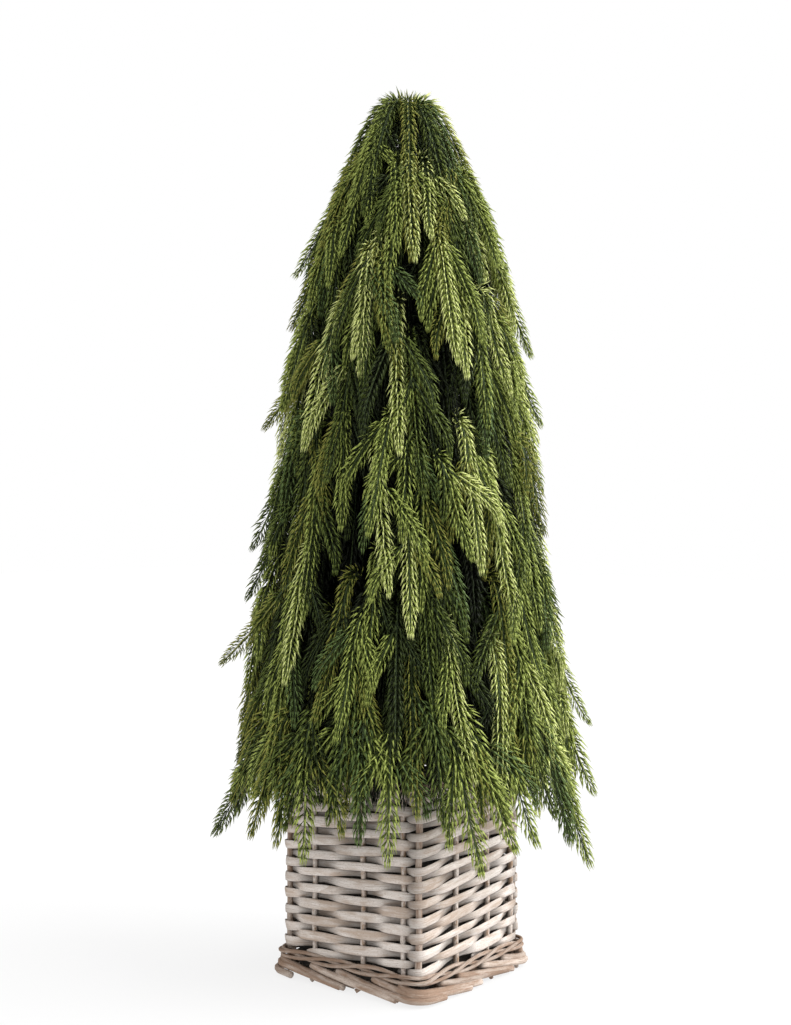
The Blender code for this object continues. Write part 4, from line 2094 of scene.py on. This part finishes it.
    def _upright(
        self,
        batch: Batch,
        template: Template,
        place: float,
        offset: float,
        radius: float,
        ends: tuple[float, float],
    ) -> None:
        """Adds one upright rod with a slight bend.

        Args:
            batch: What it is added to.
            template: The rod.
            place: Where it stands along the wall line.
            offset: How far out of the line.
            radius: Its radius.
            ends: The heights of its foot and its top.
        """
        chance, upright, steps = self.chance, self.upright, self.upright.steps
        low, high = ends
        heights = np.linspace(low, high, steps)
        lean, wave = chance.uniform(-upright.lean, upright.lean), chance.uniform(*PHASES)
        bend = upright.bend * np.sin(heights * upright.bend_rate + wave)
        places = place + lean * (heights - low) / (high - low) + bend
        points, _ = self.walls.at(places, np.full(steps, offset), heights)
        radii = radius * (1 + upright.swell * np.sin(heights * upright.swell_rate + wave))
        tone = np.full(steps, chance.uniform(*upright.tones))
        batch.sweep(template, Line.carried(points), radii, radii, tone, chance.uniform(*SHIFTS))

    def _stakes(self) -> Batch:
        """Sets up the stakes of the four sides.

        Returns:
            The stakes.
        """
        batch, template = Batch(), Template.rod(10, 20)
        for place in self._stake_places():
            self._upright(batch, template, place, 0.0, self.stake_radius, self.stake_heights)
        return batch

    def _posts(self) -> Batch:
        """Sets up the four corner posts.

        Returns:
            The posts.
        """
        batch, template = Batch(), Template.rod(12, 20)
        for number in range(4):
            place = (number + 1e-4) * self.walls.side
            offset, radius = self.post_offset, self.post_radius
            self._upright(batch, template, place, offset, radius, self.post_heights)
        return batch

    def _waling(self) -> Batch:
        """Twists the thin rods round the foot of the weave.

        Returns:
            The rods.
        """
        batch, template, waling = Batch(), Template.rod(8, 200), self.waling
        around = self.walls.around
        places = np.linspace(waling.overlap[0], around + waling.overlap[1], waling.steps)
        for strand in range(waling.strands):
            phase = FULL_TURN * strand / waling.strands
            turn = FULL_TURN * waling.twists * places / around + phase
            row = [Vector((at * waling.wobble_rate, strand * 7.0, 0.5)) for at in places]
            wobble = np.array([noise.noise(place) for place in row])
            heights = waling.height + waling.rise * np.sin(turn) + waling.wobble * wobble
            offset = waling.offset + waling.swing * np.cos(turn)
            points, _ = self.walls.at(waling.start * self.walls.side + places, offset, heights)
            radii = waling.radius * (1 + waling.swell * wobble)
            tone, shift = 0.95 + 0.12 * wobble, self.chance.uniform(*SHIFTS)
            batch.sweep(template, Line.carried(points), radii, radii, tone, shift)
        return batch

    def _plait(self, batch: Batch, border: Border) -> None:
        """Lays one round of a plaited border.

        Args:
            batch: What it is added to.
            border: The round.
        """
        chance, plait, steps = self.chance, self.plait, self.plait.steps
        template = Template.rod(9, 26)
        gap = self.walls.around / border.count
        (foot_offset, foot_height), (end_offset, end_height) = border.start, border.end
        for number in range(border.count):
            at = number * gap + chance.uniform(-plait.shift, plait.shift) * gap
            size = border.length * chance.uniform(*plait.lengths)
            share = np.linspace(0, 1, steps)
            places = at + size * share
            wave = chance.uniform(*PHASES)
            offset = foot_offset + (end_offset - foot_offset) * share**plait.out_curve
            offset = offset + plait.sway * np.sin(places * plait.sway_rate + wave)
            heights = foot_height + (end_height - foot_height) * share**plait.rise_curve
            heights = heights + plait.wave * np.sin(places * plait.wave_rate + wave)
            points, _ = self.walls.at(places, offset, heights)
            radii = border.radius * chance.uniform(*plait.radii) * (1 - plait.taper * share)
            tone = np.full(steps, chance.uniform(*plait.tones) * border.shade)
            batch.sweep(template, Line.carried(points), radii, radii, tone, chance.uniform(*SHIFTS))

    def _foot(self) -> Batch:
        """Plaits the foot and sets the cut ends of the stakes under it.

        Returns:
            Its rods.
        """
        batch, chance, stub = Batch(), self.chance, self.stub
        for border in FOOT:
            self._plait(batch, border)
        template, steps = Template.rod(8, 6), stub.steps
        share = np.linspace(0, 1, steps)
        for place in self._stake_places():
            places = place + stub.start + stub.slant * share * chance.uniform(-1, 1)
            offset, heights = stub.offset + stub.reach * share, stub.height - stub.drop * share
            points, _ = self.walls.at(places, offset, heights)
            radii = np.full(steps, stub.radius)
            tone = np.full(steps, chance.uniform(*stub.tones))
            batch.sweep(template, Line.carried(points), radii, radii, tone, chance.uniform(*SHIFTS))
        return batch

    def _rim(self) -> Batch:
        """Plaits the rim.

        Returns:
            Its rods.
        """
        batch = Batch()
        for border in RIM:
            self._plait(batch, border)
        return batch


@dataclass
class Foam:
    """The foam block that holds the stem."""

    node: str = "planter_foam"
    edge: float = 0.003
    edge_cuts: int = 2
    cuts: int = 16
    fineness: float = 160.0
    octaves: int = 3
    relief: float = 0.0012

    def build(self) -> None:
        """Adds the block with a crumbled surface in place of its node."""
        low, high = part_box(self.node)
        size, centre = high - low, (low + high) / 2
        shape = bmesh.new()
        place = Matrix.Translation(centre) @ Matrix.Diagonal((*size, 1.0))
        bmesh.ops.create_cube(shape, size=1.0, matrix=place)
        bmesh.ops.bevel(
            shape,
            geom=shape.edges[:],
            offset=self.edge,
            segments=self.edge_cuts,
            profile=0.5,
            affect="EDGES",
            material=-1,
        )
        bmesh.ops.subdivide_edges(shape, edges=shape.edges[:], cuts=self.cuts, use_grid_fill=True)
        for vert in shape.verts:
            crumble = noise.fractal(vert.co * self.fineness, 1.0, 2.0, self.octaves)
            inward = (Vector(centre) - vert.co).normalized()
            vert.co += inward * self.relief * (crumble + 1.0) * 0.5
        mesh = settled_mesh(self.node, shape)
        mesh.shade_smooth()
        add_piece("foam_block", mesh, (FOAM.material(),), (self.node,))


# --- Studio ---


@dataclass(frozen=True)
class Sun:
    """One wide, soft sun, and where it stands as the camera sees it."""

    name: str
    back: float  # towards the camera
    right: float
    up: float
    strength: float
    angle: float  # in degrees


SUNS = (
    Sun("key", 0.36, 1.15, 0.85, 3.5, 50.0),
    Sun("rim", -0.35, 1.0, 0.35, 2.2, 40.0),
    Sun("fill", 1.0, -0.7, 0.6, 1.2, 60.0),
    Sun("top", 0.0, 0.1, 1.0, 0.8, 90.0),
)


@dataclass
class Studio:
    """Floor, soft light and camera."""

    azimuth: float = math.radians(37.6)
    eye: float = 0.329
    distance: float = 1.103
    sideways: float = -0.005
    lens: float = 53.74
    sensor: float = 36.0
    floor_size: float = 12.0
    horizon: float = 0.24
    zenith: float = 0.18

    def build(self) -> None:
        """Sets up the studio."""
        self._floor()
        self._sky()
        back = Vector((math.sin(self.azimuth), -math.cos(self.azimuth), 0.0))
        right = Vector((math.cos(self.azimuth), math.sin(self.azimuth), 0.0))
        up = Vector((0.0, 0.0, 1.0))
        for sun in SUNS:
            self._sun(sun, back * sun.back + right * sun.right + up * sun.up)
        self._camera(back, back * self.distance + right * self.sideways + up * self.eye)
        bpy.context.scene.view_settings.view_transform = "Standard"
        bpy.context.scene.view_settings.look = "None"

    def _camera(self, back: Vector, place: Vector) -> None:
        """Adds the camera, which is level.

        Args:
            back: The direction from the object to it.
            place: Where it stands.
        """
        data = bpy.data.cameras.new("camera")
        data.sensor_width = self.sensor
        data.lens = self.lens
        data.clip_start, data.clip_end = 0.05, 100.0
        camera = bpy.data.objects.new("camera", data)
        camera.location = place
        camera.rotation_euler = (-back).to_track_quat("-Z", "Y").to_euler()
        bpy.context.scene.collection.objects.link(camera)
        bpy.context.scene.camera = camera

    def _floor(self) -> None:
        """Adds the floor."""
        shape = bmesh.new()
        bmesh.ops.create_grid(shape, x_segments=8, y_segments=8, size=self.floor_size / 2)
        mesh = bpy.data.meshes.new("floor")
        shape.to_mesh(mesh)
        shape.free()
        mesh.materials.append(FloorFinish().material())
        floor = bpy.data.objects.new("floor", mesh)
        bpy.context.scene.collection.objects.link(floor)

    def _sky(self) -> None:
        """Shows the world white, and lights with it softly, most brightly overhead."""
        world = bpy.data.worlds.new("studio")
        world.use_nodes = True
        bpy.context.scene.world = world
        sheet = NodeSheet(world.node_tree)
        direction = sheet.add("ShaderNodeTexCoord", {}, {}, "Generated")
        height = sheet.add("ShaderNodeSeparateXYZ", {}, {0: direction}, "Z")
        seen = sheet.add("ShaderNodeLightPath", {}, {}, "Is Camera Ray")
        light = self.horizon + height.held() * self.zenith
        strength = seen + (1.0 - seen) * light
        values = {"Color": (1.0, 1.0, 1.0, 1.0), "Strength": strength}
        sky = sheet.add("ShaderNodeBackground", {}, values)
        sheet.add("ShaderNodeOutputWorld", {}, {"Surface": sky})

    def _sun(self, sun: Sun, away: Vector) -> None:
        """Adds one sun.

        Args:
            sun: The sun.
            away: The direction that it shines from.
        """
        data = bpy.data.lights.new(sun.name, "SUN")
        data.energy = sun.strength
        data.angle = math.radians(sun.angle)
        lamp = bpy.data.objects.new(sun.name, data)
        lamp.rotation_euler = (-away).to_track_quat("-Z", "Y").to_euler()
        bpy.context.scene.collection.objects.link(lamp)


def main() -> None:
    """Builds every sub-assembly round the frame."""
    logging.basicConfig(level=logging.INFO, format="%(message)s")
    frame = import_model()
    nodes = frame["nodes"]
    Studio().build()
    Basket().build(nodes)
    Foam().build()
    Limbs(nodes).build()
    Crown(nodes).build()


if __name__ == "__main__":
    main()
